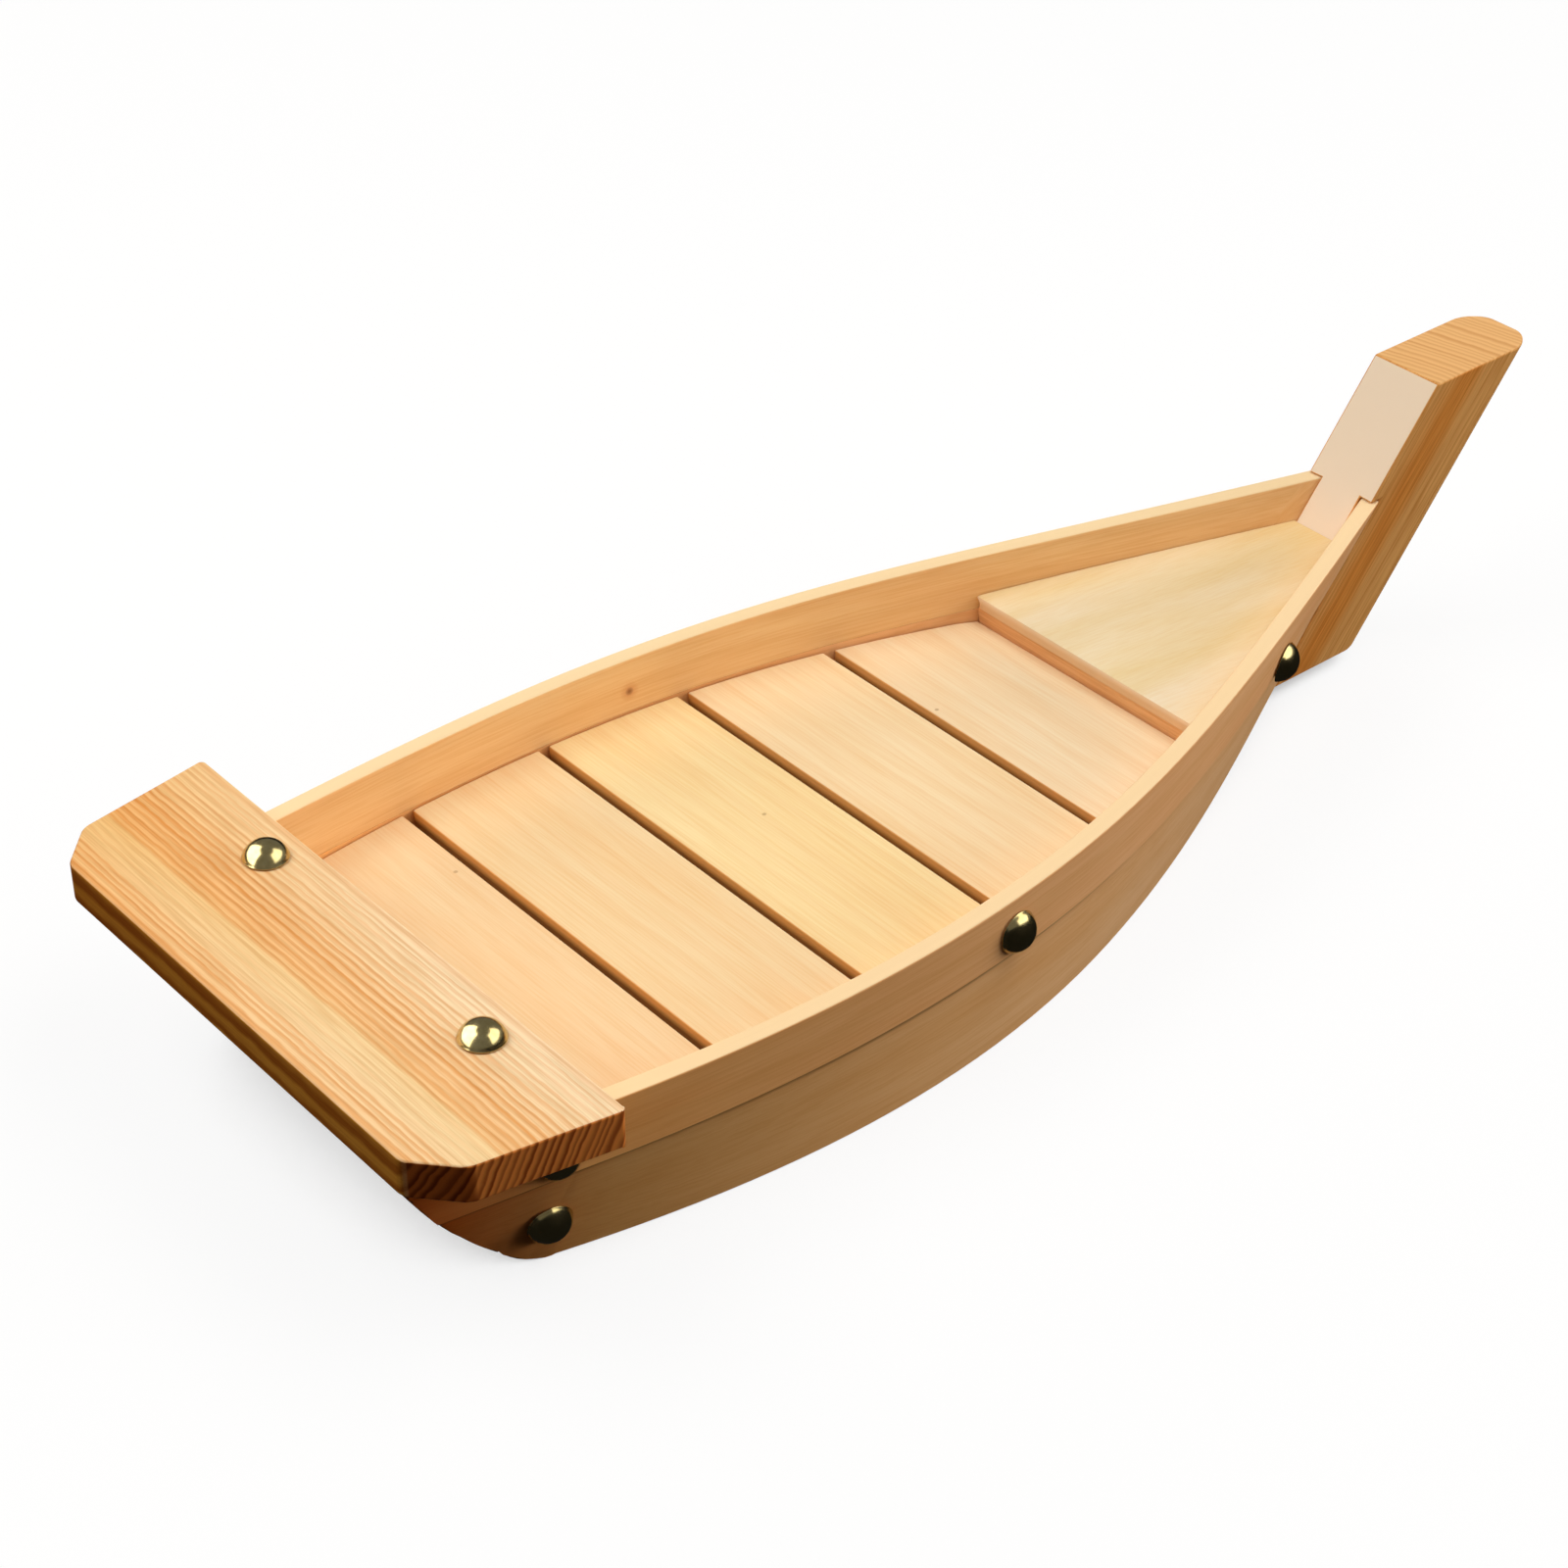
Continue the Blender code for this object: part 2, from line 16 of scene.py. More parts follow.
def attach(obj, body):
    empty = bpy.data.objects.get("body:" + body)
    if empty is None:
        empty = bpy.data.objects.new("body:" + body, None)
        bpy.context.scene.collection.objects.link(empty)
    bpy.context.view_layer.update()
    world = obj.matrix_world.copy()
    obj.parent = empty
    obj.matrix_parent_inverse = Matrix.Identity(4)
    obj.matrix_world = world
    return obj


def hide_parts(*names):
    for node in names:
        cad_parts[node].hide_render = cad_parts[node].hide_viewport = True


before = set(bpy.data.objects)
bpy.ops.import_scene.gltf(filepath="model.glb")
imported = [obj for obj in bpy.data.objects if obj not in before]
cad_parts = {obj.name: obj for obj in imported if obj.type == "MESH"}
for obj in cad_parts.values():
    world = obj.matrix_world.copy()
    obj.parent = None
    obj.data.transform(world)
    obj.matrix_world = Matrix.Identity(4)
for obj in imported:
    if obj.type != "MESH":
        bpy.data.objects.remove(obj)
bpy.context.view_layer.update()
MM = 0.001

# %% [markdown]
# ## Camera
# The photograph was taken from the boat's aft starboard quarter, looking down at about 35 degrees. The lens
# is a short telephoto, so the boat narrows only a little with distance. The place and the turn were found by
# matching the corners of the stern plank, the slats and the stem with the picture.

# %% Camera
CAMERA_PLACE = (-0.4930, -0.5198, 0.5257)
AZIMUTH, ELEVATION, ROLL = (math.radians(angle) for angle in (-40.22, 35.33, 0.2))
camera = bpy.data.objects.new("camera", bpy.data.cameras.new("camera"))
camera.data.sensor_width = 36
camera.data.lens = 76.59
camera.matrix_world = (
    Matrix.Translation(CAMERA_PLACE)
    @ Matrix.Rotation(AZIMUTH, 4, "Z")
    @ Matrix.Rotation(math.pi / 2 - ELEVATION, 4, "X")
    @ Matrix.Rotation(ROLL, 4, "Z")
)
scene = bpy.context.scene
scene.collection.objects.link(camera)
scene.camera = camera
scene.view_settings.view_transform = "Standard"
print("camera at", CAMERA_PLACE, "with a lens of", camera.data.lens, "mm")

# %% [markdown]
# ## Small helpers
# Colours are written as the hex values that a colour picker shows and turned to the linear values that
# Blender mixes. Every node in this file is added by one function, which sets its properties and fills its
# sockets with a value or with another node's output. Two more helpers start a material and tell the rays that
# show a thing to the eye from those that only carry its light to other things.

# %% Helpers for colour and nodes


def colour(hex_value):
    """A picker's hex colour as linear red, green, blue and alpha."""
    parts = [int(hex_value[i : i + 2], 16) / 255 for i in (0, 2, 4)]
    return (*(c / 12.92 if c <= 0.04045 else ((c + 0.055) / 1.055) ** 2.4 for c in parts), 1)


def add(tree, kind, inputs=None, stops=None, **settings):
    """Adds a node. Stops are the colours of a ramp, from the left; inputs go by a socket's name or number."""
    node = tree.nodes.new(kind)
    for name, value in settings.items():
        setattr(node, name, value)
    for name, value in (inputs or {}).items():
        if isinstance(value, bpy.types.NodeSocket):
            tree.links.new(value, node.inputs[name])
        else:
            node.inputs[name].default_value = value
    if stops:
        elements = node.color_ramp.elements
        while len(elements) < len(stops):
            elements.new(1)
        for element, (place, tone) in zip(elements, stops):
            element.position = place
            element.color = tone
    return node


def empty_material(name):
    """A new material whose node tree is still empty, and that tree."""
    material = bpy.data.materials.new(name)
    material.use_nodes = True
    material.node_tree.nodes.clear()
    return material, material.node_tree


def shown_to_the_eye(tree):
    """1 for rays from the camera, a mirror or glass, and 0 for those that only carry light."""
    path = add(tree, "ShaderNodeLightPath").outputs
    rays = {0: path["Is Camera Ray"], 1: path["Is Glossy Ray"]}
    mirrored = add(tree, "ShaderNodeMath", rays, operation="MAXIMUM").outputs[0]
    rays = {0: mirrored, 1: path["Is Transmission Ray"]}
    return add(tree, "ShaderNodeMath", rays, operation="MAXIMUM").outputs[0]


# %% [markdown]
# ## Floor and light
# The boat stands on a round white studio floor whose rim curves up, so that every view has a plain
# background. It looks white to the eye, but sends little light back up, because in the photograph the outer
# sides of the boat are much darker than its top. Two wide soft boxes hang over the boat, one to each side of
# the camera, and two weaker ones with a grid over them stand low off the bow and off the port side.

# %% Floor
FLOOR_RADIUS, RIM_RADIUS, RIM_HEIGHT, FLOOR_STEPS = 3.0, 4.0, 1.2, 96
SAME_POINT = 0.01 * MM
bm = bmesh.new()
profile = [bm.verts.new((0, 0, 0)), bm.verts.new((FLOOR_RADIUS, 0, 0))]
for angle in (15, 30, 45, 60, 75, 90):
    turn = math.radians(angle)
    reach = (RIM_RADIUS - FLOOR_RADIUS) * math.sin(turn)
    profile.append(bm.verts.new((FLOOR_RADIUS + reach, 0, RIM_HEIGHT * (1 - math.cos(turn)))))
edges = [bm.edges.new(pair) for pair in zip(profile, profile[1:])]
bmesh.ops.spin(
    bm,
    geom=profile + edges,
    cent=(0, 0, 0),
    axis=(0, 0, 1),
    angle=2 * math.pi,
    steps=FLOOR_STEPS,
    use_merge=True,
)
bmesh.ops.remove_doubles(bm, verts=bm.verts, dist=SAME_POINT)
floor_mesh = bpy.data.meshes.new("studio_floor")
bm.to_mesh(floor_mesh)
bm.free()
floor_mesh.shade_smooth()
floor = bpy.data.objects.new("studio_floor", floor_mesh)
scene.collection.objects.link(floor)
print("studio floor:", len(floor_mesh.polygons), "faces")

# %% White studio paper
# Matt paper: most of its white is an even glow, and the rest is lit by the lamps and shows the boat's shadow.
# Under the boat, where hardly any sky is open, nothing glows, so no white shines up between the slats.
GLOW_SHARE, SKY_REACH, SHUT_SKY, OPEN_SKY = 0.88, 0.15, 0.06, 0.30
white_paper, tree = empty_material("white studio paper")
sky = add(tree, "ShaderNodeAmbientOcclusion", {"Distance": SKY_REACH}, samples=8).outputs["AO"]
glowing = {"Value": sky, "From Min": SHUT_SKY, "From Max": OPEN_SKY, "To Max": GLOW_SHARE}
glowing = add(tree, "ShaderNodeMapRange", glowing).outputs[0]
lit = add(tree, "ShaderNodeBsdfDiffuse", {"Color": colour("FFFFFF")})
glow = add(tree, "ShaderNodeEmission", {"Color": colour("FFFFFF"), "Strength": 1.0})
shown = add(tree, "ShaderNodeMixShader", {"Fac": glowing, 1: lit.outputs[0], 2: glow.outputs[0]})
dull = add(tree, "ShaderNodeBsdfDiffuse", {"Color": colour("2E2A26")})
either = {"Fac": shown_to_the_eye(tree), 1: dull.outputs[0], 2: shown.outputs[0]}
surface = add(tree, "ShaderNodeMixShader", either)
add(tree, "ShaderNodeOutputMaterial", {"Surface": surface.outputs[0]})
floor_mesh.materials.append(white_paper)
print(white_paper.name, "has", len(tree.nodes), "nodes")

# %% Lamps
LAMP_AIM = Vector((0, 0, 0.03))
LAMP_TONE = "FFFCF7"


def soft_box(name, place, size, power, grid=180):
    """A soft box at a place, turned to the boat; a grid keeps its light within an angle, in degrees."""
    lamp = bpy.data.lights.new(name, "AREA")
    lamp.shape = "RECTANGLE"
    lamp.size, lamp.size_y = size
    lamp.energy = power
    lamp.spread = math.radians(grid)
    lamp.color = colour(LAMP_TONE)[:3]
    obj = bpy.data.objects.new(name, lamp)
    obj.location = place
    obj.rotation_euler = (LAMP_AIM - obj.location).to_track_quat("-Z", "Y").to_euler()
    # The brass mirrors the reflectors below in place of the lamps.
    obj.visible_glossy = False
    scene.collection.objects.link(obj)
    print(name, "at", place, "with", power, "W")


soft_box("soft_box_right", (0.36, -0.36, 1.28), (1.15, 0.75), 8.5)
soft_box("soft_box_left", (-0.70, 0.44, 1.12), (1.15, 0.80), 10.7)
soft_box("soft_box_bow", (1.34, -0.90, 0.46), (1.8, 0.5), 6.8, grid=110)
soft_box("soft_box_port", (0.50, 1.55, 0.46), (1.8, 0.5), 4.2, grid=110)

# %% Studio room
# A pale room above the floor's rim. Its light fills the shadows only a little.
ROOM_FILL, ROOM_TONE = 0.07, 0.30
world = bpy.data.worlds.new("studio")
world.use_nodes = True
tree = world.node_tree
tree.nodes.clear()
either = {"Value": shown_to_the_eye(tree), "To Min": ROOM_FILL, "To Max": ROOM_TONE}
strength = add(tree, "ShaderNodeMapRange", either).outputs[0]
room = add(tree, "ShaderNodeBackground", {"Color": colour("FFFFFF"), "Strength": strength})
add(tree, "ShaderNodeOutputWorld", {"Surface": room.outputs[0]})
scene.world = world
print("studio room:", ROOM_FILL, "as light,", ROOM_TONE, "to the eye")

# %% [markdown]
# ## What the brass mirrors
# A polished dome shows the whole studio. The tacks on the stern plank have a large bright patch on the left
# and on the right, with a dim band between, and the tacks on the sides are nearly black below. So two curved
# white reflectors, a dim dome and a black card are added. The card lies on the floor and its edge is folded
# up round the boat. Only mirrored rays meet these things: the camera doesn't see them and they don't light
# the wood.

# %% Reflectors
# The camera stands in this direction from the boat, in degrees from the bow towards port.
CAMERA_AZIMUTH = -130.2
PANEL_DISTANCE, DOME_DISTANCE, PANEL_ROWS, PANEL_STEPS = 1.5, 2.8, 8, 24


def only_mirrored(name, bm, tone, strength):
    """A studio object that glows evenly and that only mirrored rays meet."""
    material, tree = empty_material(name)
    glow = add(tree, "ShaderNodeEmission", {"Color": colour(tone), "Strength": strength})
    add(tree, "ShaderNodeOutputMaterial", {"Surface": glow.outputs[0]})
    bmesh.ops.remove_doubles(bm, verts=bm.verts, dist=SAME_POINT)
    mesh = bpy.data.meshes.new(name)
    bm.to_mesh(mesh)
    bm.free()
    mesh.materials.append(material)
    obj = bpy.data.objects.new(name, mesh)
    scene.collection.objects.link(obj)
    for seen_by in ("visible_camera", "visible_diffuse", "visible_transmission", "visible_shadow"):
        setattr(obj, seen_by, False)
    print(name, len(mesh.polygons), "faces")


def curved_panel(distance, azimuths, elevations):
    """A piece of a ball round the boat; azimuths are degrees from the camera, to its right if positive."""
    bm = bmesh.new()
    turns = [math.radians(angle) for angle in np.linspace(*elevations, PANEL_ROWS)]
    arc = [bm.verts.new((distance * math.cos(turn), 0, distance * math.sin(turn))) for turn in turns]
    edges = [bm.edges.new(pair) for pair in zip(arc, arc[1:])]
    first, last = (math.radians(CAMERA_AZIMUTH + angle) for angle in azimuths)
    bmesh.ops.rotate(bm, verts=arc, cent=(0, 0, 0), matrix=Matrix.Rotation(first, 3, "Z"))
    bmesh.ops.spin(
        bm,
        geom=arc + edges,
        cent=(0, 0, 0),
        axis=(0, 0, 1),
        angle=last - first,
        steps=PANEL_STEPS,
        use_merge=False,
    )
    return bm


only_mirrored("reflector_right", curved_panel(PANEL_DISTANCE, (45, 125), (24, 64)), "FFFCF4", 2.6)
only_mirrored("reflector_left", curved_panel(PANEL_DISTANCE, (-130, -50), (8, 64)), "FFFCF4", 4.2)
only_mirrored("dim_room", curved_panel(DOME_DISTANCE, (-180, 180), (0, 90)), "FFFFFF", 0.20)

# %% Black card
CARD_LENGTH, CARD_WIDTH, CARD_FOLD, CARD_LIFT = 0.60, 0.23, 0.077, 0.5 * MM
corners = [(x * CARD_LENGTH / 2, y * CARD_WIDTH / 2) for x, y in ((-1, -1), (1, -1), (1, 1), (-1, 1))]
bm = bmesh.new()
verts = [bm.verts.new((x, y, CARD_LIFT)) for x, y in corners]
sheet = bm.faces.new(verts)
folded = bmesh.ops.extrude_edge_only(bm, edges=sheet.edges)["geom"]
rim = [part for part in folded if isinstance(part, bmesh.types.BMVert)]
bmesh.ops.translate(bm, vec=(0, 0, CARD_FOLD), verts=rim)
only_mirrored("black_card", bm, "FFFFFF", 0.012)

# %% [markdown]
# ## Sanded copies of the boards
# A plain solid has knife-sharp edges, and no wooden edge is sharp: sandpaper takes half a millimetre off.
# Each board is copied from its solid, its loose triangles are merged, and its sharp edges get a round bevel.
# Corners that lie very close together are merged too, because there is no room for a round edge between
# them. The holes of the tacks stay as they are, because the heads cover them.

# %% Copy a board and sand its edges
SHARP, FLAT, CREASE = (math.radians(angle) for angle in (25, 0.2, 40))
SHORT_EDGE, SLIVER = 0.6 * MM, 0.005 * MM
SLAT_ARRIS, INNER_ARRIS, ARRIS_STEPS = 0.5 * MM, 0.4 * MM, 3
# Corners closer than this are merged: on a plain board, on a bent plank and on a board with tack holes.
PLAIN_BOARD, BENT_PLANK, HOLED_BOARD = 0.5 * MM, 0.3 * MM, 0.15 * MM


def sharp_edges(bm, shortest=SHORT_EDGE):
    """The edges that sandpaper meets: a clear angle, and not the small rim of a tack hole."""
    outer = [edge for edge in bm.edges if len(edge.link_faces) == 2 and edge.calc_length() > shortest]
    return [edge for edge in outer if edge.calc_face_angle() > SHARP]


def round_over(bm, edges, radius, segments=ARRIS_STEPS, held_back=False):
    """Rounds edges; where one has little room, a rounding that is held back gets smaller on all of them."""
    bmesh.ops.bevel(
        bm,
        geom=edges,
        offset=radius,
        offset_type="OFFSET",
        affect="EDGES",
        segments=segments,
        profile=0.5,
        material=-1,
        clamp_overlap=held_back,
    )


def start_board(node, same_corner=HOLED_BOARD):
    """A bmesh copy of a solid, with corners this close merged and the triangles of each flat face joined."""
    bm = bmesh.new()
    bm.from_mesh(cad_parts[node].data)
    bmesh.ops.remove_doubles(bm, verts=bm.verts, dist=same_corner)
    bmesh.ops.dissolve_limit(bm, angle_limit=FLAT, verts=bm.verts, edges=bm.edges)
    return bm


def finish_piece(bm, node, suffix):
    """Makes the bmesh an object that stands for its solid, without the slivers that a bevel can leave."""
    bmesh.ops.remove_doubles(bm, verts=bm.verts, dist=SLIVER)
    bmesh.ops.dissolve_degenerate(bm, dist=SLIVER, edges=bm.edges)
    mesh = bpy.data.meshes.new(node + suffix)
    bm.to_mesh(mesh)
    bm.free()
    mesh.shade_smooth()
    mesh.set_sharp_from_angle(angle=CREASE)
    piece = bpy.data.objects.new(node + suffix, mesh)
    scene.collection.objects.link(piece)
    # Large faces lead the shading, so a flat board stays flat beside its rounded edges.
    flat_first = piece.modifiers.new("flat faces first", "WEIGHTED_NORMAL")
    flat_first.keep_sharp = True
    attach(piece, "root")
    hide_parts(node)
    print(piece.name, len(mesh.polygons), "faces")
    return piece


def sanded_board(node, arris, same_corner, held_back=False):
    """A board all of whose sharp edges get the same arris."""
    bm = start_board(node, same_corner)
    round_over(bm, sharp_edges(bm), arris, held_back=held_back)
    return finish_piece(bm, node, "_board")


slat_nodes = [f"floor_slat_{number}" for number in range(1, 6)]
slats = [sanded_board(node, SLAT_ARRIS, PLAIN_BOARD) for node in slat_nodes]
bow_bulkhead = sanded_board("bow_bulkhead", INNER_ARRIS, PLAIN_BOARD)
hidden_boards = [sanded_board("transom", INNER_ARRIS, HOLED_BOARD)]
# The frames end in thin wedges at the planks, which leave little room for a rounding.
for node in ("floor_frame_aft", "floor_frame_fore", "floor_bearer_port", "floor_bearer_starboard"):
    hidden_boards.append(sanded_board(node, INNER_ARRIS, HOLED_BOARD, held_back=True))

# %% [markdown]
# ## Stern plank, stem and deck
# The stern plank's upright corners, the stem's front corners and the deck's aft corners are rounded more than
# the other edges: in the photograph they are small arcs, not lines. So these edges get a larger bevel first,
# and the arris follows round them afterwards. The deck needs no arris: its aft edge is already round on the
# solid, and its other edges are hidden in the joints.

# %% Round the corners of the stern plank, the stem and the deck
# The stem leans this far forward for each step up.
STEM_LEAN = 0.785
RAKE = Vector((STEM_LEAN, 0, 1)).normalized()
FORWARD = Vector((1, 0, -STEM_LEAN)).normalized()
UP = Vector((0, 0, 1))
NEARLY_ALONG = 0.95
STERN_CORNER, STERN_STEPS, STERN_ARRIS = 1.8 * MM, 5, 0.6 * MM
BOW_CORNER, BOW_STEPS, STEM_ARRIS = 2.6 * MM, 6, 0.6 * MM
STEM_FRONT, DECK_AFT = 8 * MM, 2 * MM


def edges_along(bm, direction):
    """The sharp edges that run in a direction."""
    ways = [(edge, (edge.verts[1].co - edge.verts[0].co).normalized()) for edge in sharp_edges(bm)]
    return [edge for edge, way in ways if abs(way.dot(direction)) > NEARLY_ALONG]


bm = start_board("stern_plank")
round_over(bm, edges_along(bm, UP), STERN_CORNER, STERN_STEPS)
round_over(bm, sharp_edges(bm), STERN_ARRIS)
stern_plank = finish_piece(bm, "stern_plank", "_board")

bm = start_board("stem_post")
nose = max(vert.co.dot(FORWARD) for vert in bm.verts)
front = [edge for edge in edges_along(bm, RAKE) if edge.verts[0].co.dot(FORWARD) > nose - STEM_FRONT]
round_over(bm, front, BOW_CORNER, BOW_STEPS)
round_over(bm, sharp_edges(bm), STEM_ARRIS)
stem_post = finish_piece(bm, "stem_post", "_board")

bm = start_board("bow_deck", PLAIN_BOARD)
aft = min(vert.co.x for vert in bm.verts)
corners = [edge for edge in edges_along(bm, UP) if edge.verts[0].co.x < aft + DECK_AFT]
round_over(bm, corners, BOW_CORNER, BOW_STEPS)
bow_deck = finish_piece(bm, "bow_deck", "_board")

# %% [markdown]
# ## Bent planks
# Each side has a strake over a plank that lies a little further in, so a fine step runs along the boat. They
# could be bent again with a curve modifier, but their solids already have the bend. The free edges are sanded
# like the others. The two edges at the seam stay crisp, which keeps the step's shadow line, and the lower
# plank comes up to the strake, because glue fills that joint. The point of the middle tack ends in the wood,
# so its hole is closed on the inside by drawing the rim together.

# %% Plane the planks
GLUE, HOLE_REACH, PLANK_ARRIS = 0.25 * MM, 1.6 * MM, 0.5 * MM
# The planks' tips have edges shorter than this, which are left as they are.
LONG_EDGE = 3 * MM
# A face looks up or down if its normal's height is at least this.
LEVEL = 0.7


def tack_ends(node):
    """The point of a tack and the top of its dome."""
    places = np.array([vertex.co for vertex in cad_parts[node].data.vertices])
    spread, ways = np.linalg.eigh(np.cov(places.T))
    # A turned shape spreads equally in two directions; the third is its axis.
    axis = ways[:, 2] if spread[2] - spread[1] > spread[1] - spread[0] else ways[:, 0]
    along = (places - places.mean(axis=0)) @ axis
    across = np.linalg.norm(places - places.mean(axis=0) - np.outer(along, axis), axis=1)
    rim = along[across.argmax()]
    # The point is further from the rim than the top of the dome is.
    if abs(along.max() - rim) > abs(along.min() - rim):
        along = -along
    return Vector(places[along.argmin()]), Vector(places[along.argmax()])


def bent_plank(node, seam_way, tack=None):
    """A plank whose seam edges, on its upper or lower side, stay crisp."""
    bm = start_board(node, BENT_PLANK)
    if tack:
        point = tack_ends(tack)[0]
        rim = [vert for vert in bm.verts if (vert.co - point).length < HOLE_REACH]
        centre = sum((vert.co for vert in rim), Vector()) / len(rim)
        bmesh.ops.pointmerge(bm, verts=rim, merge_co=centre)
        print(node, "hole closed at", tuple(round(value, 4) for value in centre), "from", len(rim), "points")
    if seam_way > 0:
        upper = {vert for face in bm.faces if face.normal.z > LEVEL for vert in face.verts}
        bmesh.ops.translate(bm, vec=(0, 0, GLUE), verts=list(upper))
    at_seam = {edge for face in bm.faces if face.normal.z * seam_way >= LEVEL for edge in face.edges}
    round_over(bm, [edge for edge in sharp_edges(bm, LONG_EDGE) if edge not in at_seam], PLANK_ARRIS)
    return finish_piece(bm, node, "_board")


SIDES = ("port", "starboard")
strakes = [bent_plank(f"strake_{side}", -1, f"tack_mid_{side}") for side in SIDES]
side_planks = [bent_plank(f"side_plank_{side}", 1) for side in SIDES]

# %% [markdown]
# ## Brass tacks
# A domed upholstery tack is pressed from thin brass: a shallow dome with a narrow rolled rim and a steel
# shank. It is a turned shape, so half of its outline is drawn and spun round. The solid that it stands for
# tells where it sits: the point and the top of the dome are the two ends of its axis.

# %% Turn the tacks
HEAD_RADIUS, HEAD_HEIGHT, RIM_EDGE = 5.75 * MM, 4.3 * MM, 0.3 * MM
DOME_RADIUS, SHANK_RADIUS, POINT = 5.68 * MM, 0.65 * MM, 1.5 * MM
DOME_HEIGHT = HEAD_HEIGHT - RIM_EDGE
BALL_RADIUS = (DOME_RADIUS**2 + DOME_HEIGHT**2) / (2 * DOME_HEIGHT)
DOME_TURN = math.asin(DOME_RADIUS / BALL_RADIUS)
DOME_STEPS, TURN_STEPS = 14, 48
UNDERCUT, RIM_ROUND = 0.2 * MM, 0.1 * MM


def brass_tack(node):
    """A tack turned about its axis, where its solid sits."""
    point, top = tack_ends(node)
    axis = (top - point).normalized()
    shank = (top - point).length - HEAD_HEIGHT
    outline = [(0, -shank), (SHANK_RADIUS, POINT - shank), (SHANK_RADIUS, 0), (HEAD_RADIUS - UNDERCUT, 0)]
    outline += [(HEAD_RADIUS, RIM_ROUND), (HEAD_RADIUS, RIM_EDGE - RIM_ROUND)]
    for step in range(DOME_STEPS):
        turn = DOME_TURN * (1 - step / DOME_STEPS)
        outline.append((BALL_RADIUS * math.sin(turn), HEAD_HEIGHT - BALL_RADIUS * (1 - math.cos(turn))))
    outline.append((0, HEAD_HEIGHT))
    bm = bmesh.new()
    verts = [bm.verts.new((radius, 0, height)) for radius, height in outline]
    edges = [bm.edges.new(pair) for pair in zip(verts, verts[1:])]
    bmesh.ops.spin(
        bm,
        geom=verts + edges,
        cent=(0, 0, 0),
        axis=(0, 0, 1),
        angle=2 * math.pi,
        steps=TURN_STEPS,
        use_merge=True,
    )
    bmesh.ops.remove_doubles(bm, verts=bm.verts, dist=SLIVER)
    bmesh.ops.recalc_face_normals(bm, faces=bm.faces)
    place = Matrix.Translation(top - axis * HEAD_HEIGHT) @ axis.to_track_quat("Z", "Y").to_matrix().to_4x4()
    bmesh.ops.transform(bm, matrix=place, verts=bm.verts)
    return finish_piece(bm, node, "_head")


tacks = [brass_tack(node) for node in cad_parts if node.startswith("tack_")]

# %% [markdown]
# ## Pine
# Each year a pine adds one ring: a pale soft layer that darkens slowly and ends in a sharp dark line. A board
# is a cut through a block of such layers, so the pattern is worked out in three dimensions: lines on the
# face, streaks on the edge and slanted stripes on the end all come from the same layers. Two directions
# describe the block: the way the fibres run and the way across the rings. The first helper finds the place
# of a point in that block, the second makes soft patches of a given size there, and the third the rings.

# %% The block, its patches and its rings
# Boards with different seeds are cut from places this far apart: along the fibres, across the rings, and the
# third way.
BLOCK_STEP, RING_STEP, THIRD_STEP = 270 * MM, 31 * MM, 13 * MM
# Good and bad years come in runs of about this many, and the line of a bad year is fainter.
YEARS_OF_LUCK, FAINT_YEAR = 2.5, 0.6
# How dark the wood is through one year: pale at first, then a dark line that ends suddenly.
YEAR_SHADE = [(0, 0), (0.25, 0.10), (0.62, 0.90), (0.82, 1), (1, 0)]


def place_in_block(tree, cut):
    """A point's place across the rings, along the fibres and the third way, in metres."""
    fibres = Vector(cut["fibres"]).normalized()
    rings = Vector(cut["rings"])
    rings = (rings - fibres * rings.dot(fibres)).normalized()
    turn = Matrix((rings, fibres, rings.cross(fibres))).to_euler()
    if cut.get("bent"):
        place = add(tree, "ShaderNodeAttribute", attribute_name="plank").outputs["Vector"]
    else:
        place = add(tree, "ShaderNodeTexCoord").outputs["Object"]
    shift = [cut.get("seed", 0) * step for step in (RING_STEP, BLOCK_STEP, THIRD_STEP)]
    return add(tree, "ShaderNodeMapping", {"Vector": place, "Rotation": turn, "Location": shift}).outputs[0]


def patches(tree, block, across, along, detail=2.0):
    """Soft patches of a size across and along the fibres, in metres, from 0 to 1."""
    scaled = add(tree, "ShaderNodeMapping", {"Vector": block, "Scale": (1 / across, 1 / along, 1 / across)})
    return add(tree, "ShaderNodeTexNoise", {"Vector": scaled.outputs[0], "Scale": 1.0, "Detail": detail})


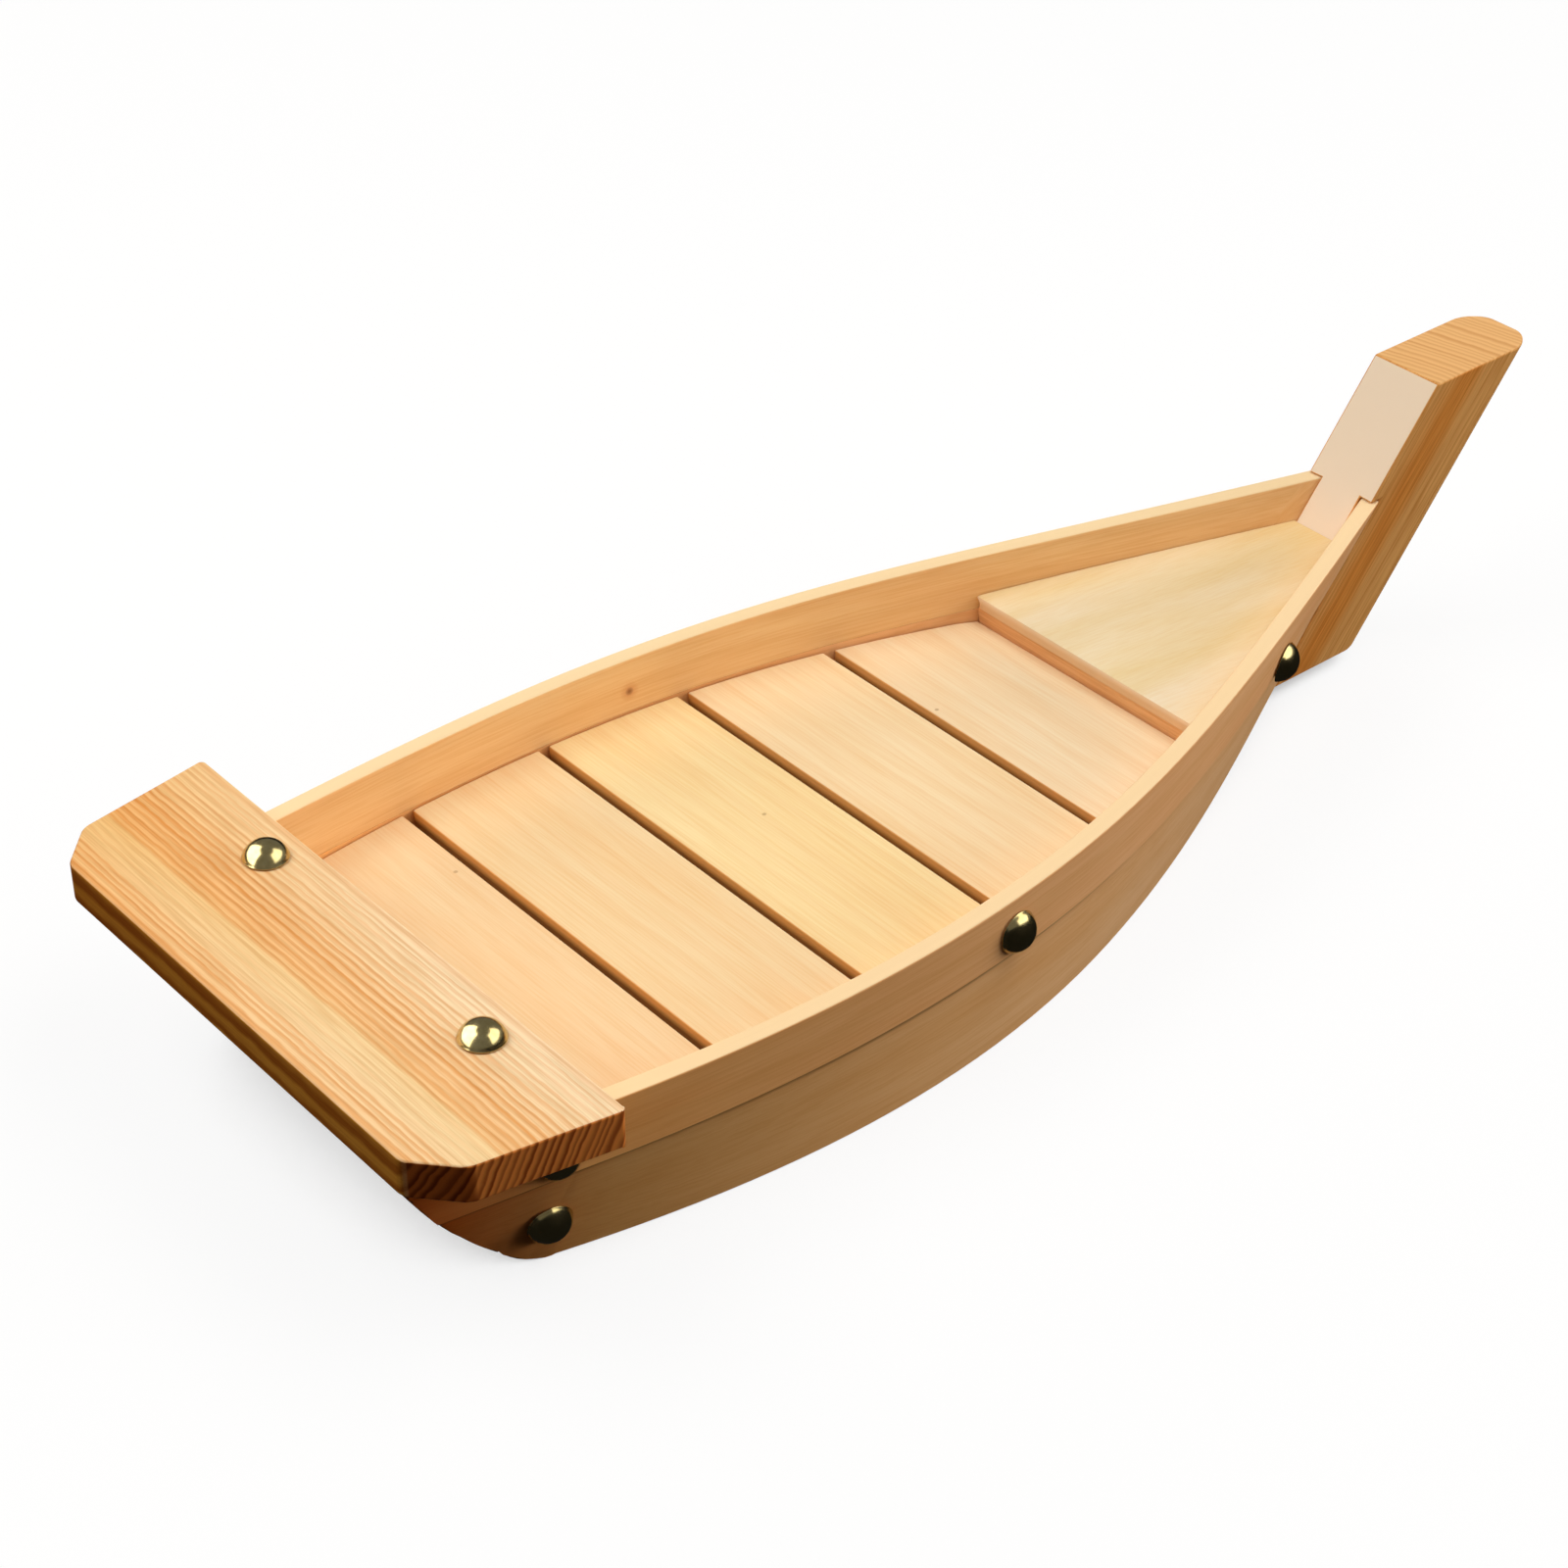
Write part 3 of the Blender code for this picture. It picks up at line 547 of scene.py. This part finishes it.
def year_rings(tree, block, cut):
    """How far each point is into the dark line of its year, and its place across the rings."""
    # Rings wander slowly over the length of a hand and ripple a little over a finger's width.
    drift = patches(tree, block, 30 * MM, 140 * MM).outputs["Color"]
    wander = {0: drift, 1: (cut.get("wander", 2 * MM), 0, 0), 2: block}
    bent = add(tree, "ShaderNodeVectorMath", wander, operation="MULTIPLY_ADD").outputs[0]
    shiver = patches(tree, block, 4 * MM, 8 * MM).outputs["Color"]
    ripple = {0: shiver, 1: (cut.get("ripple", 0.5 * MM), 0, 0), 2: bent}
    bent = add(tree, "ShaderNodeVectorMath", ripple, operation="MULTIPLY_ADD").outputs[0]
    across = add(tree, "ShaderNodeSeparateXYZ", {0: bent}).outputs["X"]
    # The rings are counted across the block with uneven steps and uneven strength.
    count = add(tree, "ShaderNodeMath", {0: across, 1: 1 / cut["spacing"]}, operation="MULTIPLY").outputs[0]
    slower = add(tree, "ShaderNodeMath", {0: count, 1: 1 / YEARS_OF_LUCK}, operation="MULTIPLY").outputs[0]
    luck = add(tree, "ShaderNodeTexNoise", {"W": slower, "Scale": 1.0, "Detail": 0.0}, noise_dimensions="1D")
    uneven = {0: luck.outputs[0], 1: cut.get("uneven", 1.0), 2: count}
    year = add(tree, "ShaderNodeMath", uneven, operation="MULTIPLY_ADD").outputs[0]
    season = add(tree, "ShaderNodeMath", {0: year}, operation="FRACT").outputs[0]
    whole = add(tree, "ShaderNodeMath", {0: year}, operation="FLOOR").outputs[0]
    harvest = add(tree, "ShaderNodeTexWhiteNoise", {"W": whole}, noise_dimensions="1D").outputs["Value"]
    stops = [(place, (shade, shade, shade, 1)) for place, shade in YEAR_SHADE]
    summer = add(tree, "ShaderNodeValToRGB", {0: season}, stops=stops).outputs[0]
    strength = {"Value": harvest, "To Min": FAINT_YEAR, "To Max": 1.0}
    strength = add(tree, "ShaderNodeMapRange", strength).outputs[0]
    return add(tree, "ShaderNodeMath", {0: summer, 1: strength}, operation="MULTIPLY").outputs[0], across


# %% [markdown]
# ## The wood's colour
# The pale layer has two tones in broad clouds, or bands across the board where the real one shows them. Then
# come the dark lines, fine fibres and a few resin specks. Lacquer sinks into end grain and turns it dark, so
# faces across the fibres get tones of their own. A face in a given direction gets a tone of its own too: the
# deck's tan edge, and painted light on the stem's aft face, the strakes' top edges and the slats' edges in
# the gaps. Painted shade darkens faces deep in a gap and faces that look away from the lamps.

# %% Steps of the wood's colour
COLOURS = {"data_type": "RGBA"}
SPECK_RADIUS, SPECK_SHARE, SPECKLESS, SPECK_TONE = 0.34 * MM, 0.45, 0.65, "9A6434"
AFT = (-1, 0, 0)


def looking(tree, direction, low=0.62, high=0.78, share=1.0, both_ways=False):
    """A share on faces that look in a direction, 0 on the others, with a soft change between."""
    normal = add(tree, "ShaderNodeNewGeometry").outputs["Normal"]
    way = Vector(direction).normalized()
    along = add(tree, "ShaderNodeVectorMath", {0: normal, 1: way}, operation="DOT_PRODUCT").outputs["Value"]
    if both_ways:
        along = add(tree, "ShaderNodeMath", {0: along}, operation="ABSOLUTE").outputs[0]
    turned = {"Value": along, "From Min": low, "From Max": high, "To Max": share}
    return add(tree, "ShaderNodeMapRange", turned).outputs[0]


def specks(tree, wood, block, spacing):
    """Small resin specks, twice as long as wide, in about a third of the cells of a given spacing."""
    radius = SPECK_RADIUS / spacing
    scaled = add(tree, "ShaderNodeMapping", {"Vector": block, "Scale": (1 / spacing, 0.5 / spacing, 0)})
    flat = {"Vector": scaled.outputs[0], "Scale": 1.0}
    cells = add(tree, "ShaderNodeTexVoronoi", flat, voronoi_dimensions="2D")
    near = {"Value": cells.outputs["Distance"], "From Min": radius, "From Max": 0.5 * radius}
    inside = add(tree, "ShaderNodeMapRange", near | {"To Max": SPECK_SHARE}).outputs[0]
    chance = add(tree, "ShaderNodeSeparateXYZ", {0: cells.outputs["Color"]}).outputs["X"]
    chosen = add(tree, "ShaderNodeMath", {0: chance, 1: SPECKLESS}, operation="GREATER_THAN").outputs[0]
    share = add(tree, "ShaderNodeMath", {0: inside, 1: chosen}, operation="MULTIPLY").outputs[0]
    return add(tree, "ShaderNodeMix", {0: share, 6: wood, 7: colour(SPECK_TONE)}, **COLOURS).outputs[2]


# %% Rings, end grain and faces with painted light and shade
# How strong and how dark the painted shade deep in a gap is.
DEEP_SHADE_SHARE, DEEP_SHADE_TONE = 0.8, "6E4220"
CLOUD_WIDTH, CLOUD_LENGTH, BAND_SHARE = 14 * MM, 80 * MM, 0.85


def ringed_tone(tree, block, cut):
    """The wood's colour on a face along the fibres, the end grain's colour, and the strength of the lines."""
    line, across = year_rings(tree, block, cut)
    cloud = patches(tree, block, CLOUD_WIDTH, CLOUD_LENGTH).outputs[0]
    clouds = add(tree, "ShaderNodeMapRange", {"Value": cloud, "From Min": 0.35, "From Max": 0.65}).outputs[0]
    two_tones = {0: clouds, 6: colour(cut["early"]), 7: colour(cut["warm"])}
    pale = add(tree, "ShaderNodeMix", two_tones, **COLOURS).outputs[2]
    shade = add(tree, "ShaderNodeMath", {0: line, 1: cut["contrast"]}, operation="MULTIPLY").outputs[0]
    if "bands" in cut:
        low, high = cut["span"]
        span = {"Value": across, "From Min": low, "From Max": high}
        reach = add(tree, "ShaderNodeMapRange", span).outputs[0]
        stops = [(place, (*colour(tone)[:3], strength)) for place, tone, strength in cut["bands"]]
        band = add(tree, "ShaderNodeValToRGB", {0: reach}, stops=stops).outputs
        banded = {0: BAND_SHARE, 6: pale, 7: band["Color"]}
        pale = add(tree, "ShaderNodeMix", banded, **COLOURS).outputs[2]
        shade = add(tree, "ShaderNodeMath", {0: shade, 1: band["Alpha"]}, operation="MULTIPLY").outputs[0]
    sawn = {0: line, 6: colour(cut["end"][0]), 7: colour(cut["end"][1])}
    ends = add(tree, "ShaderNodeMix", sawn, **COLOURS).outputs[2]
    ringed = {0: shade, 6: pale, 7: colour(cut["late"])}
    return add(tree, "ShaderNodeMix", ringed, **COLOURS).outputs[2], ends, shade


def finished_faces(tree, wood, ends, shade, cut):
    """The wood with end grain, faces of another tone, and painted shade deep in a gap and on faces turned
    away.
    """
    # A bent plank's sides turn towards its fibres at the bow, but only its sawn tips are end grain.
    low, high = (0.75, 0.90) if cut.get("bent") else (0.50, 0.66)
    sawn = looking(tree, cut["fibres"], low, high, both_ways=True)
    wood = add(tree, "ShaderNodeMix", {0: sawn, 6: wood, 7: ends}, **COLOURS).outputs[2]
    # Faces that look a given way get a tone of their own: the deck's tan edge, and painted light on the other
    # boards.
    for direction, tone, share, *limits in cut.get("faces", []):
        turned = looking(tree, direction, *limits, share=share)
        wood = add(tree, "ShaderNodeMix", {0: turned, 6: wood, 7: colour(tone)}, **COLOURS).outputs[2]
    # Painted shade deep in a gap: faces that look aft are darker further below the top.
    if "dusty" in cut:
        place = add(tree, "ShaderNodeTexCoord").outputs["Object"]
        height = add(tree, "ShaderNodeSeparateXYZ", {0: place}).outputs["Z"]
        deep = {"Value": height, "From Min": cut["dusty"][0], "From Max": cut["dusty"][1]}
        depth = add(tree, "ShaderNodeMapRange", deep | {"To Max": DEEP_SHADE_SHARE}).outputs[0]
        deep = {0: depth, 1: looking(tree, AFT)}
        share = add(tree, "ShaderNodeMath", deep, operation="MULTIPLY").outputs[0]
        wood = add(tree, "ShaderNodeMix", {0: share, 6: wood, 7: colour(DEEP_SHADE_TONE)}, **COLOURS).outputs[2]
    # Painted shade: faces that look a given way are darkened, and the rings' lines stay in them.
    for direction, pale, dark, *limits in cut.get("stains", []):
        lined = add(tree, "ShaderNodeMix", {0: shade, 6: colour(pale), 7: colour(dark)}, **COLOURS).outputs[2]
        stain = {0: looking(tree, direction, *limits), 6: wood, 7: lined}
        wood = add(tree, "ShaderNodeMix", stain, **COLOURS, blend_type="MULTIPLY").outputs[2]
    return wood


# %% [markdown]
# ## Marks and a painted shadow
# A knot is the root of a small branch: a dark round spot with a paler ring. In the corner under the strake, a
# painted shadow draws a dark line along the outside of the boat, where the strake's lower edge shades the
# plank below. Both could be modelled, but they have no depth that the eye could see, so they are painted by
# their distance from a point or from the seam.

# %% Knots and the painted shadow at the seam
SEAM_SHADOW_SHARE, SEAM_SHADOW_TONE = 0.55, "6A4220"
# A mark is full up to this share of its radius, and the line down to this share of its reach.
MARK_CORE, SEAM_CORE = 0.4, 0.6


def mark(tree, wood, place, radius, tone, share):
    """A round mark in the wood, such as a small knot, that fades out at its radius."""
    point = add(tree, "ShaderNodeTexCoord").outputs["Object"]
    far = add(tree, "ShaderNodeVectorMath", {0: point, 1: place}, operation="DISTANCE").outputs["Value"]
    near = {"Value": far, "From Min": radius, "From Max": MARK_CORE * radius, "To Max": share}
    inside = add(tree, "ShaderNodeMapRange", near).outputs[0]
    return add(tree, "ShaderNodeMix", {0: inside, 6: wood, 7: colour(tone)}, **COLOURS).outputs[2]


def painted_seam_shadow(tree, wood, reach):
    """Painted shadow in the corner under the strake: a dark line along the lower plank's upper edge."""
    flat = add(tree, "ShaderNodeAttribute", attribute_name="plank").outputs["Vector"]
    up = add(tree, "ShaderNodeSeparateXYZ", {0: flat}).outputs["Z"]
    near = {"Value": up, "From Min": -reach, "From Max": -SEAM_CORE * reach, "To Max": SEAM_SHADOW_SHARE}
    dark = add(tree, "ShaderNodeMapRange", near).outputs[0]
    # On the outer side the face looks the way that its own place lies from the middle of the boat.
    normal = add(tree, "ShaderNodeNewGeometry").outputs["Normal"]
    place = add(tree, "ShaderNodeTexCoord").outputs["Object"]
    both = add(tree, "ShaderNodeVectorMath", {0: normal, 1: place}, operation="MULTIPLY").outputs[0]
    outwards = add(tree, "ShaderNodeSeparateXYZ", {0: both}).outputs["Y"]
    outside = add(tree, "ShaderNodeMath", {0: outwards, 1: 0.0}, operation="GREATER_THAN").outputs[0]
    share = add(tree, "ShaderNodeMath", {0: dark, 1: outside}, operation="MULTIPLY").outputs[0]
    return add(tree, "ShaderNodeMix", {0: share, 6: wood, 7: colour(SEAM_SHADOW_TONE)}, **COLOURS).outputs[2]


# %% [markdown]
# ## The shader of a board
# All boards share one satin lacquer, thin enough that the wood shows with hardly any gloss. The steps above
# are put together here in this order: rings, fibres, ends of the board that fade darker, which on the planks
# and the stern plank is painted shade, sawn faces, faces of another tone, partly painted light, painted
# shade, specks, marks and the painted shadow at the seam. The dark lines stand a hair above the soft layers,
# so they also give the bump.

# %% A pine board
# Fibres are finer than a pixel of the picture, so they are drawn half a millimetre wide.
FIBRE_WIDTH, FIBRE_LENGTH, RELIEF = 0.5 * MM, 22 * MM, 0.1 * MM
FIBRE_RELIEF, BUMP, SATIN_ROUGHNESS, SATIN_SHINE = 0.6, 0.2, 0.5, 0.03


def pine(name, **cut):
    """A board of pine. Tones: early and warm for the pale layer, late for the line, end for the end grain."""
    material, tree = empty_material(name)
    block = place_in_block(tree, cut)
    wood, ends, shade = ringed_tone(tree, block, cut)
    fibre = patches(tree, block, FIBRE_WIDTH, FIBRE_LENGTH).outputs[0]
    fine = [(0.34, colour(cut.get("fibre", "F1E9DF"))), (0.60, (1, 1, 1, 1))]
    fine = {0: 1.0, 6: wood, 7: add(tree, "ShaderNodeValToRGB", {0: fibre}, stops=fine).outputs[0]}
    wood = add(tree, "ShaderNodeMix", fine, **COLOURS, blend_type="MULTIPLY").outputs[2]
    for low, high, tone in cut.get("fades", []):
        along = add(tree, "ShaderNodeSeparateXYZ", {0: block}).outputs["Y"]
        span = {"Value": along, "From Min": low, "From Max": high}
        reach = add(tree, "ShaderNodeMapRange", span).outputs[0]
        faded = {0: reach, 6: wood, 7: colour(tone)}
        wood = add(tree, "ShaderNodeMix", faded, **COLOURS, blend_type="MULTIPLY").outputs[2]
    wood = finished_faces(tree, wood, ends, shade, cut)
    if "speck" in cut:
        wood = specks(tree, wood, block, cut["speck"])
    for place, radius, tone, share in cut.get("marks", []):
        wood = mark(tree, wood, place, radius, tone, share)
    if "seam" in cut:
        wood = painted_seam_shadow(tree, wood, cut["seam"])
    raised = {0: fibre, 1: FIBRE_RELIEF, 2: shade}
    relief = add(tree, "ShaderNodeMath", raised, operation="MULTIPLY_ADD").outputs[0]
    bump = add(tree, "ShaderNodeBump", {"Height": relief, "Strength": BUMP, "Distance": RELIEF}).outputs[0]
    satin = {"Base Color": wood, "Normal": bump, "Roughness": cut.get("roughness", SATIN_ROUGHNESS)}
    shader = add(tree, "ShaderNodeBsdfPrincipled", satin | {"Specular IOR Level": SATIN_SHINE})
    add(tree, "ShaderNodeOutputMaterial", {"Surface": shader.outputs[0]})
    print(name, "has", len(tree.nodes), "nodes")
    return material


# %% [markdown]
# ## Stern plank wood
# The stern plank is a coarse cut with straight strong lines and a pale band near its aft edge, and its ends
# have taken more lacquer than the top. Its aft face and its cut corner get painted shade, and the plank is
# painted a little darker towards its port end. A painted picture would do for the top alone; with the rings
# in three dimensions the lines also turn the corner into the end grain.

# %% Stern plank wood
# Straight-sawn pine: strong even lines on honey yellow, dark streaked ends. The bands run across the rings,
# from the plank's aft edge to its fore edge.
STERN_AFT, STERN_FORE = -219 * MM, -175 * MM
cut_corner, aft_face = (-0.67, -0.74, 0), (-1, 0.3, 0)
stern_bands = [
    (0.00, "FCD29C", 0.9),
    (0.13, "FCD8A6", 0.8),
    (0.19, "FADCAA", 0.25),
    (0.34, "F9D9A2", 0.3),
    (0.40, "F8C68A", 1.0),
    (0.58, "FBD29E", 1.0),
    (0.72, "FDE0B4", 0.65),
    (1.00, "FEE8C4", 0.5),
]
stern_plank.data.materials.append(
    pine(
        "straight-grained pine, satin lacquer",
        fibres=(0, 1, 0),
        rings=(1, 0, -0.45),
        spacing=1.9 * MM,
        wander=1.4 * MM,
        ripple=1.0 * MM,
        early="FDE2B8",
        warm="FBD9AA",
        late="E2923E",
        end=("E68A40", "863A12"),
        contrast=0.8,
        bands=stern_bands,
        span=(STERN_AFT, STERN_FORE),
        # Painted shade: the plank is painted a little darker towards its port end, where less light falls.
        fades=[(-30 * MM, 85 * MM, "F7E6CA")],
        # Painted shade: the aft face is painted darker and more orange, and the cut corner darker.
        stains=[(cut_corner, "C8B09C", "C4AC9C", 0.85, 0.95), (aft_face, "D8B05C", "906026")],
    )
)

# %% [markdown]
# ## Stem wood
# The stem is sawn so that its fibres follow its rake. Its side has a darker heart streak between lighter
# bands, and its aft face is painted pale pink as a painted sheen. The bands are placed by the real thickness
# of the stem, which is measured on the board itself.

# %% Stem wood
# Raked pine: orange streaks along the rake, and a painted pale pinkish sheen on the aft face.
STEM_HEAD = 65 * MM
reaches = [vert.co.dot(FORWARD) for vert in stem_post.data.vertices if vert.co.z > STEM_HEAD]
print("stem, from its aft to its front face:", round(min(reaches), 4), round(max(reaches), 4))
stem_bands = [
    (0.00, "F2B66E", 0.6),
    (0.14, "F0AA5E", 0.8),
    (0.24, "EC9A48", 1.0),
    (0.38, "ED9E4C", 1.0),
    (0.50, "F2B66E", 0.6),
    (1.00, "F3BA72", 0.6),
]
stem_post.data.materials.append(
    pine(
        "raked pine, satin lacquer",
        fibres=RAKE,
        rings=(1, 0.2, -STEM_LEAN),
        spacing=1.7 * MM,
        wander=3 * MM,
        early="F0B368",
        warm="EBA658",
        late="CE7C30",
        end=("EAB87C", "D69C60"),
        contrast=0.5,
        bands=stem_bands,
        span=(min(reaches), max(reaches)),
        # Painted sheen: the aft face is painted pale pink.
        faces=[(-FORWARD, "FFE9CE", 1.0, 0.985, 0.997)],
        fibre="E6D4BE",
    )
)

# %% [markdown]
# ## Floor wood
# The five slats are a paler, calmer cut, each from another place of the block, so that no two show the same
# pattern. Their tones differ a little, as boards from one stack do. The edges inside the gaps are painted a
# deeper orange for the light that reaches them only off other wood, and painted shade darkens them further
# down. The bulkhead under the deck is a warmer board of the same kind.

# %% Slat wood
# Fine-grained pine: pale, nearly even, with faint fibres and a few specks.
slat_tones = [
    ("F7DAAE", "F6D4A6"),
    ("F8DCAE", "F7D6A4"),
    ("FDE4AE", "FBDDA4"),
    ("FDE4BA", "FBDEB0"),
    ("FCE6C1", "FBE0B7"),
]
slat_top = max(vert.co.z for vert in slats[0].data.vertices)
for number, (slat, (early, warm)) in enumerate(zip(slats, slat_tones), start=1):
    slat.data.materials.append(
        pine(
            f"fine-grained pine {number}, satin lacquer",
            fibres=(0, 1, 0),
            rings=(0.5, 0.05, 1),
            spacing=3.2 * MM,
            wander=5 * MM,
            early=early,
            warm=warm,
            late="F0BC80",
            end=("E0A060", "BE7C3E"),
            contrast=0.2,
            seed=number,
            fibre="FBF5EC",
            speck=19 * MM,
            # Faces in the gaps get a painted deeper orange for bounced light, and painted shade further down.
            faces=[(AFT, "F0AC5C", 0.9)],
            dusty=(slat_top - 1.4 * MM, slat_top - 3.2 * MM),
        )
    )

# %% Bulkhead wood
# Warm pine: a plain tan strip under the deck's edge.
bow_bulkhead.data.materials.append(
    pine(
        "warm pine, satin lacquer",
        fibres=(0, 1, 0),
        rings=(0, 0.05, 1),
        spacing=3 * MM,
        early="F2C08A",
        warm="EEB680",
        late="D89A5C",
        end=("E0A060", "BE7C3E"),
        contrast=0.25,
        seed=7,
    )
)

# %% [markdown]
# ## Plank wood
# A bent plank carries its grain with it. So each vertex stores its place in the flat plank before bending:
# how far along, how far across its thickness and how far up from the seam. The wood reads these stored places
# in place of the place in space, and the lines follow the curve of the boat.

# %% Lay the planks flat
BEND_DEGREE, STATIONS, STATION_REACH = 5, 400, 8 * MM


def lay_flat(piece, seam_edge):
    """Stores on each vertex its place in the plank before bending: along, across, and up from the seam."""
    places = np.array([vertex.co for vertex in piece.data.vertices])
    line = np.poly1d(np.polyfit(places[:, 0], np.abs(places[:, 1]), BEND_DEGREE))
    stations = np.linspace(places[:, 0].min(), places[:, 0].max(), STATIONS)
    steps = np.hypot(np.diff(stations), np.diff(line(stations)))
    lengths = np.concatenate([[0], np.cumsum(steps)])
    along = np.interp(places[:, 0], stations, lengths)
    across = np.abs(places[:, 1]) - line(places[:, 0])
    seam = np.array([seam_edge(places, x) for x in stations])
    up = places[:, 2] - np.interp(places[:, 0], stations, seam)
    flat = np.column_stack([along, across, up])
    stored = piece.data.attributes.new("plank", "FLOAT_VECTOR", "POINT")
    stored.data.foreach_set("vector", flat.astype(np.float32).ravel())
    print(piece.name, "is", round(lengths[-1] / MM), "mm long when flat")


def lowest_near(places, x):
    """The seam of a strake is its lower edge."""
    return places[np.abs(places[:, 0] - x) < STATION_REACH, 2].min()


def highest_near(places, x):
    """The seam of a lower plank is its upper edge."""
    return places[np.abs(places[:, 0] - x) < STATION_REACH, 2].max()


# %% Plank wood


def plank_wood(number, early, warm, browned=True, **more):
    """Bent pine: an even honey tone with long faint fibres, and painted shade at the stern end if asked."""
    seed = number + 10
    stern_end = BLOCK_STEP * seed
    # Painted shade where the stern plank hangs over: darker over the last 45 mm, a little darker over 220 mm.
    darker = (stern_end + 45 * MM, stern_end, "D0853C")
    long_stern_shade = (stern_end + 220 * MM, stern_end + 30 * MM, "FDEDC6")
    return pine(
        f"bent pine {number}, satin lacquer",
        fibres=(1, 0, 0),
        rings=(0, 1, 0.3),
        spacing=4.5 * MM,
        wander=6 * MM,
        early=early,
        warm=warm,
        late="E0A05C",
        end=("C08444", "9E6228"),
        contrast=0.2,
        seed=seed,
        fades=[darker, long_stern_shade] if browned else [],
        fibre="F8F1E8",
        bent=True,
        **more,
    )


KNOT_AFT = 7.1 * MM
# Painted light: the strakes' faces that look up, their top edges, get a paler, less orange tone.
painted_top_light = (UP, "FBE0B2", 0.85)
port_point = tack_ends("tack_mid_port")[0]
knot = tuple(port_point - Vector((KNOT_AFT, 0, 0)))
marks = [(knot, 3.2 * MM, "E2A06A", 0.7), (knot, 1.5 * MM, "8A5638", 0.9)]
for strake in strakes:
    lay_flat(strake, lowest_near)
# The port strake, whose inside shows, gets no painted shade at its stern.
inner_look = {"browned": False, "faces": [painted_top_light], "marks": marks}
strakes[0].data.materials.append(plank_wood(1, "FCD49A", "FACC90", **inner_look))
strakes[1].data.materials.append(plank_wood(2, "F9C28C", "F6BA82", faces=[painted_top_light]))
for number, plank in enumerate(side_planks, start=3):
    lay_flat(plank, highest_near)
    # The lower planks get a painted shadow, 2 mm deep, along their outer upper edge under the strake.
    plank.data.materials.append(plank_wood(number, "FBC994", "F8C188", seam=2.0 * MM))

# %% [markdown]
# ## Deck and hidden wood
# The deck is a thin sheet, pale with broad soft clouds and hardly any lines, as rotary-cut veneer is. The
# boards inside the boat are raw sawn pine, a little duller than the lacquered ones.

# %% Deck and hidden wood
# Rotary-cut plywood: pale straw clouds, a tan edge.
bow_deck.data.materials.append(
    pine(
        "rotary-cut pale plywood, satin lacquer",
        fibres=(1, -0.2, 0),
        rings=(0, 0.3, 1),
        spacing=9 * MM,
        wander=12 * MM,
        early="FAEACC",
        warm="F2DAA8",
        late="E8C898",
        end=("F2D6B4", "E2BC90"),
        contrast=0.15,
        fades=[(60 * MM, 130 * MM, "FBF3DF")],
        fibre="FCF8F0",
        faces=[(AFT, "E9C092", 0.9)],
        speck=22 * MM,
    )
)
# Raw sawn pine: dull, with plain brown lines and no sheen.
raw_pine = pine(
    "raw sawn pine",
    fibres=(0, 1, 0),
    rings=(0.4, 0, 1),
    spacing=3.5 * MM,
    early="DDB884",
    warm="D6AA72",
    late="B98548",
    end=("D0A878", "B08850"),
    contrast=0.5,
    seed=41,
    roughness=0.7,
)
for board in hidden_boards:
    board.data.materials.append(raw_pine)

# %% [markdown]
# ## Brass
# The tacks are pressed brass under a clear lacquer, smooth enough to mirror the studio. A perfect mirror
# would look like new chrome, so a fine cloudiness in the lacquer, in patches of about 1.5 mm, softens the
# reflections unevenly.

# %% Lacquered brass
# Pressed brass: a pale olive gold with soft-edged bright and dark reflections.
HAZE = 1.5 * MM
brass, tree = empty_material("pressed brass, clear lacquer")
place = add(tree, "ShaderNodeTexCoord").outputs["Object"]
haze = add(tree, "ShaderNodeTexNoise", {"Vector": place, "Scale": 1 / HAZE, "Detail": 3.0}).outputs[0]
tones = [(0.3, colour("C4B076")), (0.7, colour("D0BE8A"))]
tone = add(tree, "ShaderNodeValToRGB", {0: haze}, stops=tones).outputs[0]
gloss = add(tree, "ShaderNodeMapRange", {"Value": haze, "To Min": 0.15, "To Max": 0.23}).outputs[0]
metal = {"Base Color": tone, "Metallic": 1.0, "Roughness": gloss}
shader = add(tree, "ShaderNodeBsdfPrincipled", metal)
add(tree, "ShaderNodeOutputMaterial", {"Surface": shader.outputs[0]})
for tack in tacks:
    tack.data.materials.append(brass)
print(brass.name, "on", len(tacks), "tacks")
